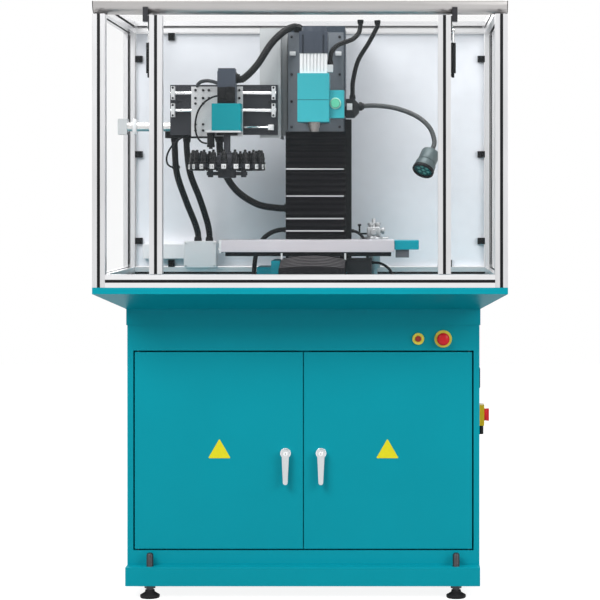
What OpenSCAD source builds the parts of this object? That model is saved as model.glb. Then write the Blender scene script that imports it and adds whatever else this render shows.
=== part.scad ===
/* [Cabinet] */
// Width of the cabinet
cabinet_w = 1132; // [1040:4:1200]
// Depth of the cabinet
cabinet_d = 460; // [420:5:480]
// Height of the cabinet's top above the floor
cabinet_top = 920; // [880:5:960]
// Sheet thickness of the cabinet
cabinet_wall = 3; // [2:0.5:5]
// Height of the plinth
plinth_h = 60; // [50:1:80]
// How far the plinth stands out at the front and back
plinth_ledge = 50; // [40:1:60]
// Height of the levelling feet below the plinth
foot_h = 40; // [36:1:60]
// Diameter of a levelling foot's pad
foot_d = 63; // [50:1:80]
// Diameter of a levelling foot's stud
stud_d = 22; // [16:1:26]
// Height of a stud above the plinth
stud_rise = 42; // [30:1:42]
// Width of the cut-out for both doors
doorway_w = 1094; // [1000:2:1100]
// Height of the cut-out's lower edge
doorway_z = 146; // [146:1:170]
// Height of the cut-out for the doors
doorway_h = 642; // [560:2:680]
// Gap round a cabinet door
door_gap = 5; // [4:0.5:7]
// Depth of a cabinet door
door_t = 20; // [16:1:24]
// Length of a door handle's lever
lever_l = 92; // [70:1:110]

/* [Tray] */
// Width of the tray and of the enclosure
tray_w = 1290; // [1280:5:1400]
// Depth of the tray and of the enclosure
tray_d = 730; // [720:5:800]
// Height of the tray's top edge
tray_top = 1000; // [990:5:1040]
// Height of the tray's upright lip
lip_h = 20; // [15:1:30]
// Sheet thickness of the tray
tray_wall = 3; // [2:0.5:5]
// Height of the band round the cabinet's top
skirt_h = 50; // [30:1:60]

/* [Enclosure] */
// Side of the slotted aluminium profile
profile = 40; // [40:0.5:45]
// Width of a profile's slot mouth
slot_w = 8; // [6:0.5:10]
// Height of the enclosure
enclosure_h = 890; // [870:5:920]
// Distance of the lift door's stiles from the middle
stile_x = 448; // [400:1:480]
// Thickness of the clear panels
pane_t = 4; // [3:0.5:6]
// Thickness of the beam's end caps
cap_t = 2; // [1:0.5:4]

/* [Mill] */
// Distance of the spindle axis to the right of the middle
spindle_x = 30; // [0:1:60]
// Width of the column
column_w = 192; // [160:2:210]
// Depth of the column
column_d = 170; // [140:5:190]
// Distance from the spindle axis to the column's front
throat = 186; // [178:1:200]
// Height of the column's top
column_top = 1855; // [1800:5:1860]
// Length of the table
table_l = 560; // [480:5:600]
// Width of the table
table_w = 170; // [150:2:176]
// Thickness of the table
table_t = 39; // [36:1:45]
// Height of the table's top
table_z = 1142; // [1130:1:1150]
// Width of the head's cover
cover_w = 102; // [90:1:110]
// Height of the head's cover
cover_h = 157; // [140:1:160]
// Lower edge of the head's cover
cover_z = 1525; // [1515:1:1530]
// Diameter of the spindle's nose
nose_d = 40; // [30:1:48]

/* [Tool changer] */
// Number of tool pockets
pockets = 12; // [10:1:14]
// Radius of the circle of pockets
pocket_r = 112; // [108:1:118]
// Distance of the carousel's axis to the left of the middle
carousel_x = 253; // [245:1:260]
// Height of the carousel's plate
carousel_z = 1378; // [1374:1:1390]
// Diameter of a tool holder
holder_d = 30; // [24:1:34]
// Diameter of the guide rods
rod_d = 12; // [10:1:14]

/* [Lamp] */
// Diameter of the lamp's head
lamp_d = 72; // [60:1:80]
// Length of the lamp's head
lamp_l = 92; // [80:1:100]
// Diameter of the flexible arm
arm_d = 16; // [12:1:18]

/* [Hidden] */
// Smoothness of round faces
$fn = 48;
// A small overcut for clean subtractions
over = 1;
// Gap between pieces that move past each other
run = 0.4;

// Cabinet, worked out
tray_front = -tray_d / 2;
tray_back = tray_d / 2;
plinth_back = tray_back;
cabinet_back = plinth_back - plinth_ledge;
cabinet_front = cabinet_back - cabinet_d;
cabinet_z = foot_h + plinth_h;
foot_x = 490;
stud_top = cabinet_z + stud_rise;
mullion_w = 40;
mullion_d = 12;
mullion_y = door_t + 1;
return_d = 34;
door_w = doorway_w / 2 - door_gap * 1.3;
door_h = doorway_h - 2 * door_gap;
door_z = doorway_z + door_gap;
door_sheet = 2;
pivot_x = doorway_w / 2 - door_gap - door_t / 2;
pivot_y = cabinet_front + door_t / 2;
pivot_d = 8;
pivot_reach = 16;
handle_x = 57;
handle_z = 459;
rosette_d = 34;
rosette_t = 10;
latch_d = 18;
cam_l = 44;
cam_w = 16;
cam_t = 4;
latch_reach = mullion_y + mullion_d + cam_t + 2;
lever_t = 12;
latch_nut_d = 28;
latch_nut_t = 5;

// Controls, worked out
estop_x = 449;
reset_x = 369;
control_rise = 38;
control_z = doorway_z + doorway_h + control_rise;
estop_d = 40;
collar_d = 56;
collar_t = 8;
neck_d = 16;
reset_collar_d = 38;
reset_d = 18;
press = 4;
isolator_y = cabinet_front + 150;
isolator_z = 566;
isolator_h = 68;
isolator_w = 54;
isolator_t = 21;
vent_z = 690;
vent_h = 64;
vent_w = 90;
vent_t = 7;

// Inside of the cabinet
plate_t = 4;
plate_gap = 40;
plate_margin = 60;
plate_y = cabinet_back - cabinet_wall - plate_gap;
drive_w = 62;
drive_h = 200;
drive_d = 130;
drive_pitch = 95;
drive_x = -430;
drive_z = cabinet_z + 400;
vent_pitch = 24;
supply_x = 150;
supply_w = 190;
supply_d = 110;
transformer_z = cabinet_z + 160;
transformer_h = 120;
transformer_d = 80;
duct_side = 40;
duct_low_z = cabinet_z + 330;
duct_high_z = drive_z + drive_h + duct_side;

// Enclosure, worked out
rail_z = tray_top;
enclosure_top = tray_top + enclosure_h;
beam_z = enclosure_top - profile;
post_x = tray_w / 2 - profile / 2;
front_y = tray_front + profile / 2;
back_y = tray_back - profile / 2;
inner_x = tray_w / 2 - profile;
slot_depth = 12;
seat = 8;
web = 4.5;
beam_r = profile - 2;
strip_t = 3;
strip_recess = 0.6;
clip_w = 25;
clip_h = 22;
clip_t = 12;
clip_rows = [130, 430, 760];
clip_columns = [-480, 0, 480];
back_pane_y = back_y;

// Lift door, worked out
door_axis_y = tray_front + 12;
door_axis_z = beam_z - 12;
stile_top = beam_z - 4;
stile_z = rail_z + profile + 2;
sheet_y = tray_front + profile;
sheet_half = inner_x - 3;
leaf_t = 4;
hinge_block_w = 16;
hinge_pin_d = 8;
leaf_x = stile_x + profile / 2;
strut_x = leaf_x + 8;
strut_top_y = door_axis_y + 48;
strut_top_z = door_axis_z - 38;
strut_l = 137;
strut_low_z = strut_top_z - strut_l;
ear_t = 4;
ear_x = strut_x - 15;
eye_d = 16;
eye_t = 8;
strut_pin_d = 6;
strut_rod_d = 8;
tube_d = 18;
tube_l = 95;
tube_foot = 6;
rod_reach = 120;

// Mill, worked out
floor_z = cabinet_top + tray_wall;
column_gap = 65;
column_back = tray_back - column_gap;
column_y = column_back - column_d;
spindle_y = column_y - throat;
column_wall = 14;
base_w = 240;
base_inset = 115;
base_overhang = 120;
base_front = tray_front + base_inset;
base_step_y = max(base_front + base_overhang, cabinet_front + 15);
base_step_z = 990;
base_top = 1030;
base_foot = 30;
wing_w = 66;
wing_z = 1053;
guard_t = 29;
guard_z = 1075;
guard_gap = 6;
switch_w = 80;
switch_z = 1080;
switch_d = 120;
way_x = 70;
way_w = 30;
way_t = 8;
casting_wall = 40;
saddle_w = 204;
saddle_d = 150;
saddle_y = spindle_y + 41;
switch_front = saddle_y - 55;
saddle_z = base_top + run;
way_h = 14;
table_low = table_z - table_t;
table_way_z = table_low - way_h;
saddle_h = table_way_z - saddle_z - 0.4;
table_x = 12;
table_way_w = 110;
end_plate_t = 8;
end_cover_l = 80;
end_cover_z = table_z - 31;
end_cover_h = 29;
y_bellows_w = 211;
y_bellows_top = 1098;
saddle_front = saddle_y - saddle_d / 2;
bellows_front = base_front + 16;
bellows_seat = 0.3;

// Z axis
rail_w = 20;
rail_t = 18;
rail_x = 62;
z_plate_t = 20;
z_plate_y = column_y - rail_t - 12 - z_plate_t;
z_plate_low = 1500;
z_plate_h = 330;
z_plate_w = 185;
rail_low = base_top;
z_bellows_top = z_plate_low + 22;
z_bellows_low = base_top + 0.3;
z_bellows_w = 200;
z_folds = 11;
duct_w = 22;
duct_d = 28;
bellows_y = column_y - rail_t - 14;
cover_d = 110;
cover_front = spindle_y - 56;
motor_w = 88;
fin_h = 64;
fin_z = cover_z + cover_h + 0.6;
motor_z = fin_z + fin_h;
motor_h = 72;
motor_cap_h = 24;
side_box_w = 48;
side_box_h = 90;
side_box_z = 1538;
start_d = 28;
nose_z = cover_z - 30;

// Tool changer, worked out
atc_plate_x = -448;
atc_plate_w = 355;
atc_plate_z = 1487;
atc_plate_h = 165;
atc_plate_t = 10;
atc_plate_y = spindle_y + 80;
rod_high_z = 1624;
rod_mid_z = 1567;
rod_low_z = 1511;
rod_y = atc_plate_y - 20;
support_w = 12;
carriage_x = -374;
carriage_w = 169;
carriage_t = 10;
carriage_z = 1481;
carriage_h = 163;
carriage_y = rod_y - 12 - carriage_t;
bush_l = 40;
bush_d = 22;
housing_w = 94;
housing_h = 88;
housing_z = 1497;
housing_d = 78;
drive_side = 59;
drive_top = 1700;
carousel_y = spindle_y;
carousel_t = 8;
carousel_r = 96;
hub_d = 60;
hub_h = 34;
index_d = 92;
index_z = 48;
flange_d = 70;
flange_t = 14;
shaft_d = 22;
fork_w = 26;
fork_t = 10;
holder_taper_h = 44;
tag_w = 18;
tag_h = 20;
tag_t = 2;
tube_y = spindle_y + 116;
tube_z = 1515;
manifold_x = -469;
manifold_w = 210;
manifold_d = 48;
manifold_z = 1478;
support_d = 32;
bracket_t = 6;
bracket_top = column_top - 15;

// Air unit and cable box at the back
air_x = 222;
air_gap = 175;
air_y = tray_back - air_gap;
box_x = -430;
box_w = 111;
box_z = 1040;
box_h = 91;
box_d = 70;

// Lamp, worked out
lamp_gap = 5;
lamp_box_x = spindle_x + column_w / 2 + lamp_gap;
lamp_box_w = 44;
lamp_box_h = 62;
lamp_box_z = 1545;
duct_top = lamp_box_z - 2;
lamp_box_d = 60;
lamp_box_y = column_y - 86;
lamp_socket_z = 38;
lamp_socket = [lamp_box_x + lamp_box_w, lamp_box_y + lamp_box_d / 2, lamp_box_z + lamp_socket_z];
arm_bends = [
    [0, 0, 0], [55, 0, 3], [125, -8, -7], [190, -24, -33], [233, -44, -71], [249, -60, -117], [241, -74, -147]
];
arm_points = [for (bend = arm_bends) lamp_socket + bend];
lamp_tilt = 24;
lamp_lean = 32;

// Routes of the conduits, through points chosen by hand
head_hose_route = [
    [83, -51, 1713], [83, -51, 1728], [88, -46, 1756], [106, -29, 1778],
    [131, -5, 1791], [157, 18, 1804], [175, 35, 1826], [180, 40, 1853], [180, 40, 1867.7]
];
roof_conduit_route = [
    [236, 60, 1867.7], [236, 60, 1850], [208, 68, 1796], [172, 73, 1736],
    [155, 74, 1670], [153, 74, 1630], [153, 74, 1607.3]
];
motor_conduit_route = [
    [-223.2, -56, 1668], [-200, -56, 1668], [-156, -50, 1712], [-112, -30, 1782],
    [-72, 4, 1826], [-42, 54, 1846], [-30, 100, 1846], [-30, 129.7, 1846]
];
tray_conduit_a_route = [
    [-440, 90, 1477.7], [-440, 90, 1440], [-436, 116, 1360], [-414, 190, 1270],
    [-392, 262, 1196], [-384, 296, 1156], [-384, 296, 1131.3]
];
tray_conduit_b_route = [
    [-400, 90, 1477.7], [-400, 90, 1440], [-392, 122, 1360], [-368, 200, 1276],
    [-350, 266, 1200], [-345, 300, 1156], [-345, 300, 1131.3]
];
carousel_conduit_route = [
    [-290, 92, 1477.7], [-290, 92, 1440], [-278, 106, 1370], [-238, 134, 1304],
    [-170, 160, 1258], [-100, 170, 1245], [-66.3, 170, 1245]
];
conduit_d = 24;
hose_d = 16;
tray_conduit_d = 22;

teal = [0.03, 0.50, 0.56];
pale_teal = [0.24, 0.70, 0.75];
black = [0.08, 0.08, 0.09];
graphite = [0.26, 0.28, 0.30];
pale_grey = [0.80, 0.81, 0.83];
mid_grey = [0.45, 0.45, 0.48];
silver = [0.78, 0.79, 0.80];
steel = [0.66, 0.67, 0.69];
yellow = [0.98, 0.80, 0.08];
red = [0.80, 0.09, 0.10];
clear = [0.85, 0.92, 0.95, 0.25];

// Shared shapes

// A box between two corners
module block(low, high) {
    translate(low) cube(high - low);
}

// A pair mirrored about the middle plane
module pair() {
    children();
    mirror([1, 0, 0]) children();
}

// A round bar along X
module x_bar(x0, x1, y, z, d) {
    translate([x0, y, z]) rotate([0, 90, 0]) cylinder(d = d, h = x1 - x0);
}

// A round bar along Y
module y_bar(x, y0, y1, z, d) {
    translate([x, y0, z]) rotate([-90, 0, 0]) cylinder(d = d, h = y1 - y0);
}

// Section of the slotted profile, centred
module profile_section() {
    difference() {
        square(profile, center = true);
        for (turn = [0:90:270]) rotate(turn) {
            translate([profile / 2 - slot_depth, -slot_w / 2]) square([slot_depth + over, slot_w]);
            translate([profile / 2 - slot_depth, -slot_w * 0.75])
                square([slot_depth - web, slot_w * 1.5]);
        }
        circle(d = slot_w * 0.8);
    }
}

module upright(x, y, z0, z1) {
    translate([x, y, z0]) linear_extrude(z1 - z0) profile_section();
}

module cross_rail(x0, x1, y, z) {
    translate([x0, y, z]) rotate([90, 0, 90]) linear_extrude(x1 - x0) profile_section();
}

module depth_rail(x, y0, y1, z) {
    translate([x, y1, z]) rotate([90, 0, 0]) linear_extrude(y1 - y0) profile_section();
}

// A flexible tube along a smooth curve through its points
function unit(v) = v / norm(v);
function curve_at(p, i, t) =
    let (a = p[max(i - 1, 0)], b = p[i], c = p[i + 1], d = p[min(i + 2, len(p) - 1)])
    0.5 * (2 * b + (c - a) * t + (2 * a - 5 * b + 4 * c - d) * t * t
        + (3 * b - 3 * c + d - a) * t * t * t);
function smooth_route(p) = concat(
    [for (i = [0:len(p) - 2], t = [0, 0.5]) curve_at(p, i, t)], [p[len(p) - 1]]);
function heading(p, i) = unit(p[min(i + 1, len(p) - 1)] - p[max(i - 1, 0)]);

module flexible_tube(points, d, sides = 10, across = [0, 1, 0]) {
    route = smooth_route(points);
    rings = len(route);
    last = len(points) - 1;
    ring_points = [
        for (i = [0:rings - 1])
            let (t = i == 0 ? unit(points[1] - points[0])
                    : i == rings - 1 ? unit(points[last] - points[last - 1]) : heading(route, i),
                u = unit(cross(across, t)), v = cross(t, u))
            for (j = [0:sides - 1])
                route[i] + d / 2 * (cos(360 * j / sides) * u + sin(360 * j / sides) * v)
    ];
    walls = [
        for (i = [0:rings - 2], j = [0:sides - 1])
            let (k = (j + 1) % sides)
            [i * sides + j, (i + 1) * sides + j, (i + 1) * sides + k, i * sides + k]
    ];
    first_end = [for (j = [0:sides - 1]) j];
    last_end = [for (j = [sides - 1:-1:0]) (rings - 1) * sides + j];
    polyhedron(ring_points, concat([first_end], walls, [last_end]));
}

// Cabinet

// A frame of sheet round the doorway, folded back into the cabinet
module doorway_returns() {
    half = doorway_w / 2;
    front = cabinet_front + cabinet_wall / 2;
    top = doorway_z + doorway_h;
    difference() {
        block([-half - cabinet_wall, front, doorway_z - cabinet_wall],
            [half + cabinet_wall, cabinet_front + return_d, top + cabinet_wall]);
        block([-half, front - over, doorway_z], [half, cabinet_front + return_d + over, top]);
    }
    block([-mullion_w / 2, cabinet_front + mullion_y, doorway_z - cabinet_wall / 2],
        [mullion_w / 2, cabinet_front + mullion_y + mullion_d, top + cabinet_wall / 2]);
}

module cabinet_body() {
    half = cabinet_w / 2;
    color(teal) difference() {
        union() {
            difference() {
                block([-half, cabinet_front, cabinet_z], [half, cabinet_back, cabinet_top]);
                block([-half + cabinet_wall, cabinet_front + cabinet_wall, cabinet_z + cabinet_wall],
                    [half - cabinet_wall, cabinet_back - cabinet_wall, cabinet_top - cabinet_wall]);
                block([-doorway_w / 2, cabinet_front - over, doorway_z],
                    [doorway_w / 2, cabinet_front + cabinet_wall + over, doorway_z + doorway_h]);
            }
            doorway_returns();
        }
        for (side = [-1, 1], z = [doorway_z - cabinet_wall - over, doorway_z + doorway_h - over])
            translate([side * pivot_x, pivot_y, z])
                cylinder(d = pivot_d + 0.1, h = cabinet_wall + 2 * over);
        y_bar(estop_x, cabinet_front - over, cabinet_front + cabinet_wall + over, control_z, neck_d + 1);
        y_bar(reset_x, cabinet_front - over, cabinet_front + cabinet_wall + over, control_z, reset_d + 1);
    }
}

module plinth() {
    half = cabinet_w / 2;
    color(teal) difference() {
        block([-half, cabinet_front - plinth_ledge, foot_h], [half, plinth_back, cabinet_z]);
        block([-half + cabinet_wall, cabinet_front - plinth_ledge + cabinet_wall, foot_h - over],
            [half - cabinet_wall, plinth_back - cabinet_wall, cabinet_z - cabinet_wall]);
        foot_places() translate([0, 0, foot_h]) cylinder(d = stud_d + 0.2, h = plinth_h + over);
    }
}

module foot_places() {
    for (x = [-foot_x, foot_x], y = [cabinet_front - plinth_ledge / 2, plinth_back - foot_d / 2 - 2])
        translate([x, y, 0]) children();
}

// Pad, stud and lock nut of each levelling foot
module levelling_feet() {
    color(black) foot_places() {
        rotate_extrude() polygon([
            [0, 0], [foot_d / 2 - 2, 0], [foot_d / 2, 3], [foot_d / 2, 9],
            [foot_d / 2 - 10, 15], [stud_d / 2 + 5, 19], [stud_d / 2 + 4, 25], [0, 25]
        ]);
        translate([0, 0, 10]) cylinder(d = stud_d, h = stud_top - 10 - stud_d / 4);
        translate([0, 0, stud_top - stud_d / 4]) cylinder(d1 = stud_d, d2 = stud_d * 0.7, h = stud_d / 4);
        translate([0, 0, foot_h - 10]) cylinder(d = stud_d * 1.6, h = 10, $fn = 6);
    }
}

module door_pivots() {
    color(steel) for (side = [-1, 1]) {
        translate([side * pivot_x, pivot_y, doorway_z - cabinet_wall]) cylinder(d = pivot_d, h = pivot_reach);
        translate([side * pivot_x, pivot_y, doorway_z + doorway_h + cabinet_wall - pivot_reach])
            cylinder(d = pivot_d, h = pivot_reach);
    }
}

module cabinet_door() {
    outer = doorway_w / 2 - door_gap;
    difference() {
        block([outer - door_w, cabinet_front, door_z], [outer, cabinet_front + door_t, door_z + door_h]);
        block([outer - door_w + door_sheet, cabinet_front + door_sheet, door_z + door_sheet],
            [outer - door_sheet, cabinet_front + door_t + over, door_z + door_h - door_sheet]);
        translate([pivot_x, pivot_y, door_z - over]) cylinder(d = pivot_d + 2 * run, h = door_h + 2 * over);
        y_bar(handle_x, cabinet_front - over, cabinet_front + door_t, handle_z, latch_d + 0.2);
    }
}

module right_door() { color(teal) cabinet_door(); }
module left_door() { color(teal) mirror([1, 0, 0]) cabinet_door(); }

module latch() {
    difference() {
        union() {
            y_bar(handle_x, cabinet_front - rosette_t, cabinet_front, handle_z, rosette_d);
            y_bar(handle_x, cabinet_front, cabinet_front + latch_reach - cam_t - 1, handle_z, latch_d);
            y_bar(handle_x, cabinet_front + door_sheet, cabinet_front + door_sheet + latch_nut_t,
                handle_z, latch_nut_d);
        }
        y_bar(handle_x, cabinet_front - rosette_t - over, cabinet_front + latch_reach + over, handle_z, 10.6);
    }
}

module right_latch() { color(steel) latch(); }
module left_latch() { color(steel) mirror([1, 0, 0]) latch(); }

module handle() {
    lever_y = cabinet_front - rosette_t - run;
    y_bar(handle_x, lever_y - 2, cabinet_front + latch_reach, handle_z, 10);
    y_bar(handle_x, lever_y - lever_t, lever_y, handle_z, rosette_d - 6);
    hull() {
        y_bar(handle_x, lever_y - lever_t, lever_y - 2, handle_z, 24, $fn = 32);
        y_bar(handle_x, lever_y - lever_t - 4, lever_y - 6, handle_z - lever_l, 15, $fn = 32);
    }
    block([handle_x - cam_w / 2, cabinet_front + latch_reach - cam_t, handle_z - cam_w / 2],
        [handle_x + cam_w / 2, cabinet_front + latch_reach, handle_z + cam_l]);
}

module right_handle() { color(pale_grey) handle(); }
module left_handle() { color(pale_grey) mirror([1, 0, 0]) handle(); }

// Pieces behind the doors

module mounting_plate() {
    half = cabinet_w / 2 - plate_margin;
    color(pale_grey) {
        block([-half, plate_y - plate_t, cabinet_z + plate_margin],
            [half, plate_y, cabinet_top - plate_margin]);
        for (x = [-half + 40, half - 40],
            z = [cabinet_z + 2 * plate_margin, cabinet_top - 2 * plate_margin])
            y_bar(x, plate_y, plate_y + plate_gap, z, 16);
    }
}

module drives() {
    front = plate_y - plate_t;
    color(graphite) for (n = [0:3])
        difference() {
            translate([drive_x + n * drive_pitch, front - drive_d, drive_z])
                cube([drive_w, drive_d, drive_h]);
            for (z = [vent_pitch:vent_pitch:drive_h - 2 * vent_pitch])
                translate([drive_x + n * drive_pitch + 10, front - drive_d - over, drive_z + z])
                    cube([drive_w - 20, 4 + over, vent_pitch / 3]);
        }
    color(silver) translate([supply_x, front - supply_d, drive_z]) cube([supply_w, supply_d, drive_h]);
    color(black) translate([supply_x, front - transformer_d, transformer_z])
        cube([supply_w * 1.3, transformer_d, transformer_h]);
}

module wiring_ducts() {
    front = plate_y - plate_t;
    half = cabinet_w / 2 - plate_margin - 20;
    color(mid_grey) for (z = [duct_low_z, duct_high_z]) difference() {
        block([-half, front - duct_side, z], [half, front, z + duct_side]);
        for (x = [-half + 20:40:half - 20])
            block([x, front - duct_side - over, z - over],
                [x + 6, front - duct_side + 12, z + duct_side + over]);
    }
}

module control_gear() {
    drives();
    wiring_ducts();
}

// Tray and controls

module tray_form(inset) {
    hull() {
        block([-tray_w / 2 + inset, tray_front + inset, tray_top - lip_h],
            [tray_w / 2 - inset, tray_back - inset, tray_top + (inset > 0 ? over : 0)]);
        block([-cabinet_w / 2 + inset, cabinet_front + inset, cabinet_top + inset],
            [cabinet_w / 2 - inset, cabinet_back - inset, cabinet_top + inset + 0.5]);
    }
}

module tray() {
    half = cabinet_w / 2;
    color(teal) {
        difference() {
            tray_form(0);
            tray_form(tray_wall);
        }
        difference() {
            block([-half - tray_wall, cabinet_front - tray_wall, cabinet_top - skirt_h],
                [half + tray_wall, cabinet_back + tray_wall, cabinet_top + 1]);
            block([-half, cabinet_front, cabinet_top - skirt_h - over],
                [half, cabinet_back, cabinet_top + over + 1]);
        }
        for (side = [-1, 1])
            block([side > 0 ? inner_x : -tray_w / 2 + tray_wall,
                    tray_front + tray_wall, tray_top - tray_wall],
                [side > 0 ? tray_w / 2 - tray_wall : -inner_x, tray_back - tray_wall, tray_top]);
        for (y = [tray_front + tray_wall, tray_back - profile])
            block([-inner_x, y, tray_top - tray_wall], [inner_x, y + profile - tray_wall, tray_top]);
    }
}

module button_collars() {
    places = [[estop_x, collar_d, neck_d], [reset_x, reset_collar_d, reset_d]];
    color(yellow) for (place = places) difference() {
        y_bar(place[0], cabinet_front - collar_t, cabinet_front, control_z, place[1]);
        y_bar(place[0], cabinet_front - collar_t - over, cabinet_front + over, control_z, place[2] + 2 * run);
    }
}

module estop_knob() {
    front = cabinet_front - collar_t - press - 1;
    color(red) translate([estop_x, front, control_z]) rotate([90, 0, 0]) {
        rotate_extrude() polygon([
            [0, 0], [estop_d / 2 - 6, 0], [estop_d / 2, 5], [estop_d / 2, 12],
            [estop_d / 2 - 4, 17], [estop_d / 2 - 10, 19], [0, 20]
        ]);
        translate([0, 0, -30]) cylinder(d = neck_d, h = 31);
    }
}

module reset_button() {
    color([0.35, 0.05, 0.06])
        y_bar(reset_x, cabinet_front - collar_t - press, cabinet_front + 20, control_z, reset_d);
}

module isolator_box() {
    side = cabinet_w / 2;
    color(yellow) difference() {
        block([side, isolator_y - isolator_w / 2, isolator_z - isolator_h / 2],
            [side + isolator_t, isolator_y + isolator_w / 2, isolator_z + isolator_h / 2]);
        x_bar(side + isolator_t - 12, side + isolator_t + over, isolator_y, isolator_z, 10 + 2 * run);
    }
    color(black) translate([side + isolator_t / 2, isolator_y, isolator_z - isolator_h / 2 - 30])
        cylinder(d = 18, h = 30);
}

module isolator_knob() {
    side = cabinet_w / 2 + isolator_t + run;
    color(red) {
        x_bar(side - 10, side, isolator_y, isolator_z, 10);
        x_bar(side, side + 8, isolator_y, isolator_z, 40);
        block([side + 8, isolator_y - 6, isolator_z - 20], [side + 16, isolator_y + 6, isolator_z + 20]);
    }
}

module side_vent() {
    side = cabinet_w / 2;
    color(black) difference() {
        block([side, isolator_y - vent_w / 2, vent_z - vent_h / 2],
            [side + vent_t, isolator_y + vent_w / 2, vent_z + vent_h / 2]);
        for (z = [-vent_h / 2 + 8:10:vent_h / 2 - 12])
            block([side + 2, isolator_y - vent_w / 2 + 8, vent_z + z],
                [side + vent_t + over, isolator_y + vent_w / 2 - 8, vent_z + z + 5]);
    }
}

// Enclosure

module frame_posts() {
    color(silver) for (side = [-1, 1]) {
        upright(side * post_x, front_y, rail_z, beam_z);
        upright(side * post_x, back_y, rail_z, enclosure_top);
    }
}

module frame_rails() {
    mid = profile / 2;
    color(silver) {
        cross_rail(-inner_x, inner_x, front_y, rail_z + mid);
        cross_rail(-inner_x, inner_x, back_y, rail_z + mid);
        cross_rail(-inner_x, inner_x, back_y, beam_z + mid);
        for (side = [-1, 1], z = [rail_z + mid, beam_z + mid])
            depth_rail(side * post_x, tray_front + profile, tray_back - profile, z);
    }
}

// Section of the rounded beam, with its curve at the lower front
module beam_section() {
    difference() {
        intersection() {
            square(profile);
            union() {
                translate([profile - 2, profile - 2]) circle(r = beam_r, $fn = 96);
                translate([profile - 2, 0]) square([2, profile]);
                translate([0, profile - 2]) square([profile, 2]);
            }
        }
        translate([profile - slot_depth, profile / 2 - slot_w / 2]) square([slot_depth + over, slot_w]);
    }
}

module top_beam() {
    color(mid_grey) translate([-tray_w / 2 + cap_t, tray_front, beam_z]) rotate([90, 0, 90])
        linear_extrude(tray_w - 2 * cap_t) beam_section();
}

module beam_caps() {
    color(black) for (x = [-tray_w / 2, tray_w / 2 - cap_t])
        translate([x, tray_front, beam_z]) rotate([90, 0, 90]) linear_extrude(cap_t) intersection() {
            square(profile);
            union() {
                translate([profile - 2, profile - 2]) circle(r = beam_r, $fn = 96);
                translate([profile - 2, 0]) square([2, profile]);
                translate([0, profile - 2]) square([profile, 2]);
            }
        }
}

module slot_strips() {
    half = slot_w / 2;
    color(black) {
        for (side = [-1, 1])
            block([side * post_x - half, tray_front + strip_recess, rail_z],
                [side * post_x + half, tray_front + strip_t, beam_z]);
        for (face = [tray_front, tray_back - profile])
            block([-inner_x, face + strip_recess, rail_z + profile / 2 - half],
                [inner_x, face + strip_t, rail_z + profile / 2 + half]);
    }
}

module profile_trim() {
    beam_caps();
    slot_strips();
}

module side_panes() {
    for (side = [-1, 1])
        for (reach = [[seat, 0], [0, seat]])
            block([side * post_x - pane_t / 2, tray_front + profile - reach[0], rail_z + profile - reach[1]],
                [side * post_x + pane_t / 2, tray_back - profile + reach[0], beam_z + reach[1]]);
}

module roof_pane() {
    for (reach = [[seat, 0], [0, seat]])
        block([-inner_x - reach[0], tray_front + profile - reach[1], beam_z + profile / 2 - pane_t / 2],
            [inner_x + reach[0], tray_back - profile + reach[1], beam_z + profile / 2 + pane_t / 2]);
}

module clear_panels() {
    color(clear) {
        side_panes();
        roof_pane();
    }
}

// Rubber strips that hold the clear panels in the slots
module panel_seals() {
    half = slot_w / 2;
    proud = 1;
    color(black) {
        for (side = [-1, 1]) difference() {
            block([side * post_x - half, tray_front + profile - seat, rail_z + profile - seat],
                [side * post_x + half, tray_back - profile + seat, beam_z + seat]);
            block([side * post_x - half - over, tray_front + profile + proud, rail_z + profile + proud],
                [side * post_x + half + over, tray_back - profile - proud, beam_z - proud]);
            side_panes();
            for (y = [tray_front + profile, tray_back - profile], z = [rail_z + profile, beam_z])
                translate([side * post_x - half - over, y - seat - over, z - seat - over])
                    cube([slot_w + 2 * over, 2 * seat + 2 * over, 2 * seat + 2 * over]);
        }
        difference() {
            block([-inner_x - seat, tray_front + profile - seat, beam_z + profile / 2 - half],
                [inner_x + seat, tray_back - profile + seat, beam_z + profile / 2 + half]);
            block([-inner_x + proud, tray_front + profile + proud, beam_z + profile / 2 - half - over],
                [inner_x - proud, tray_back - profile - proud, beam_z + profile / 2 + half + over]);
            roof_pane();
            for (x = [-inner_x, inner_x], y = [tray_front + profile, tray_back - profile])
                translate([x - seat - over, y - seat - over, beam_z + profile / 2 - half - over])
                    cube([2 * seat + 2 * over, 2 * seat + 2 * over, slot_w + 2 * over]);
        }
    }
}

module back_panel() {
    edge = 2;
    color(pale_grey) block([-inner_x + edge, back_pane_y - pane_t / 2, rail_z + profile + edge],
        [inner_x - edge, back_pane_y + pane_t / 2, beam_z - edge]);
}

// Black blocks in the slots that grip the back panel's edge
module panel_clips() {
    face = back_pane_y - pane_t / 2;
    color(black) {
        for (side = [-1, 1], row = clip_rows)
            block([side > 0 ? inner_x - clip_w : -inner_x, face - clip_t, rail_z + row - clip_h / 2],
                [side > 0 ? inner_x : -inner_x + clip_w, face, rail_z + row + clip_h / 2]);
        for (x = clip_columns, z = [rail_z + profile, beam_z - clip_w])
            block([x - clip_h / 2, face - clip_t, z], [x + clip_h / 2, face, z + clip_w]);
    }
}

module panel_holders() {
    panel_seals();
    panel_clips();
}

// Lift door and its gas struts

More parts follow.
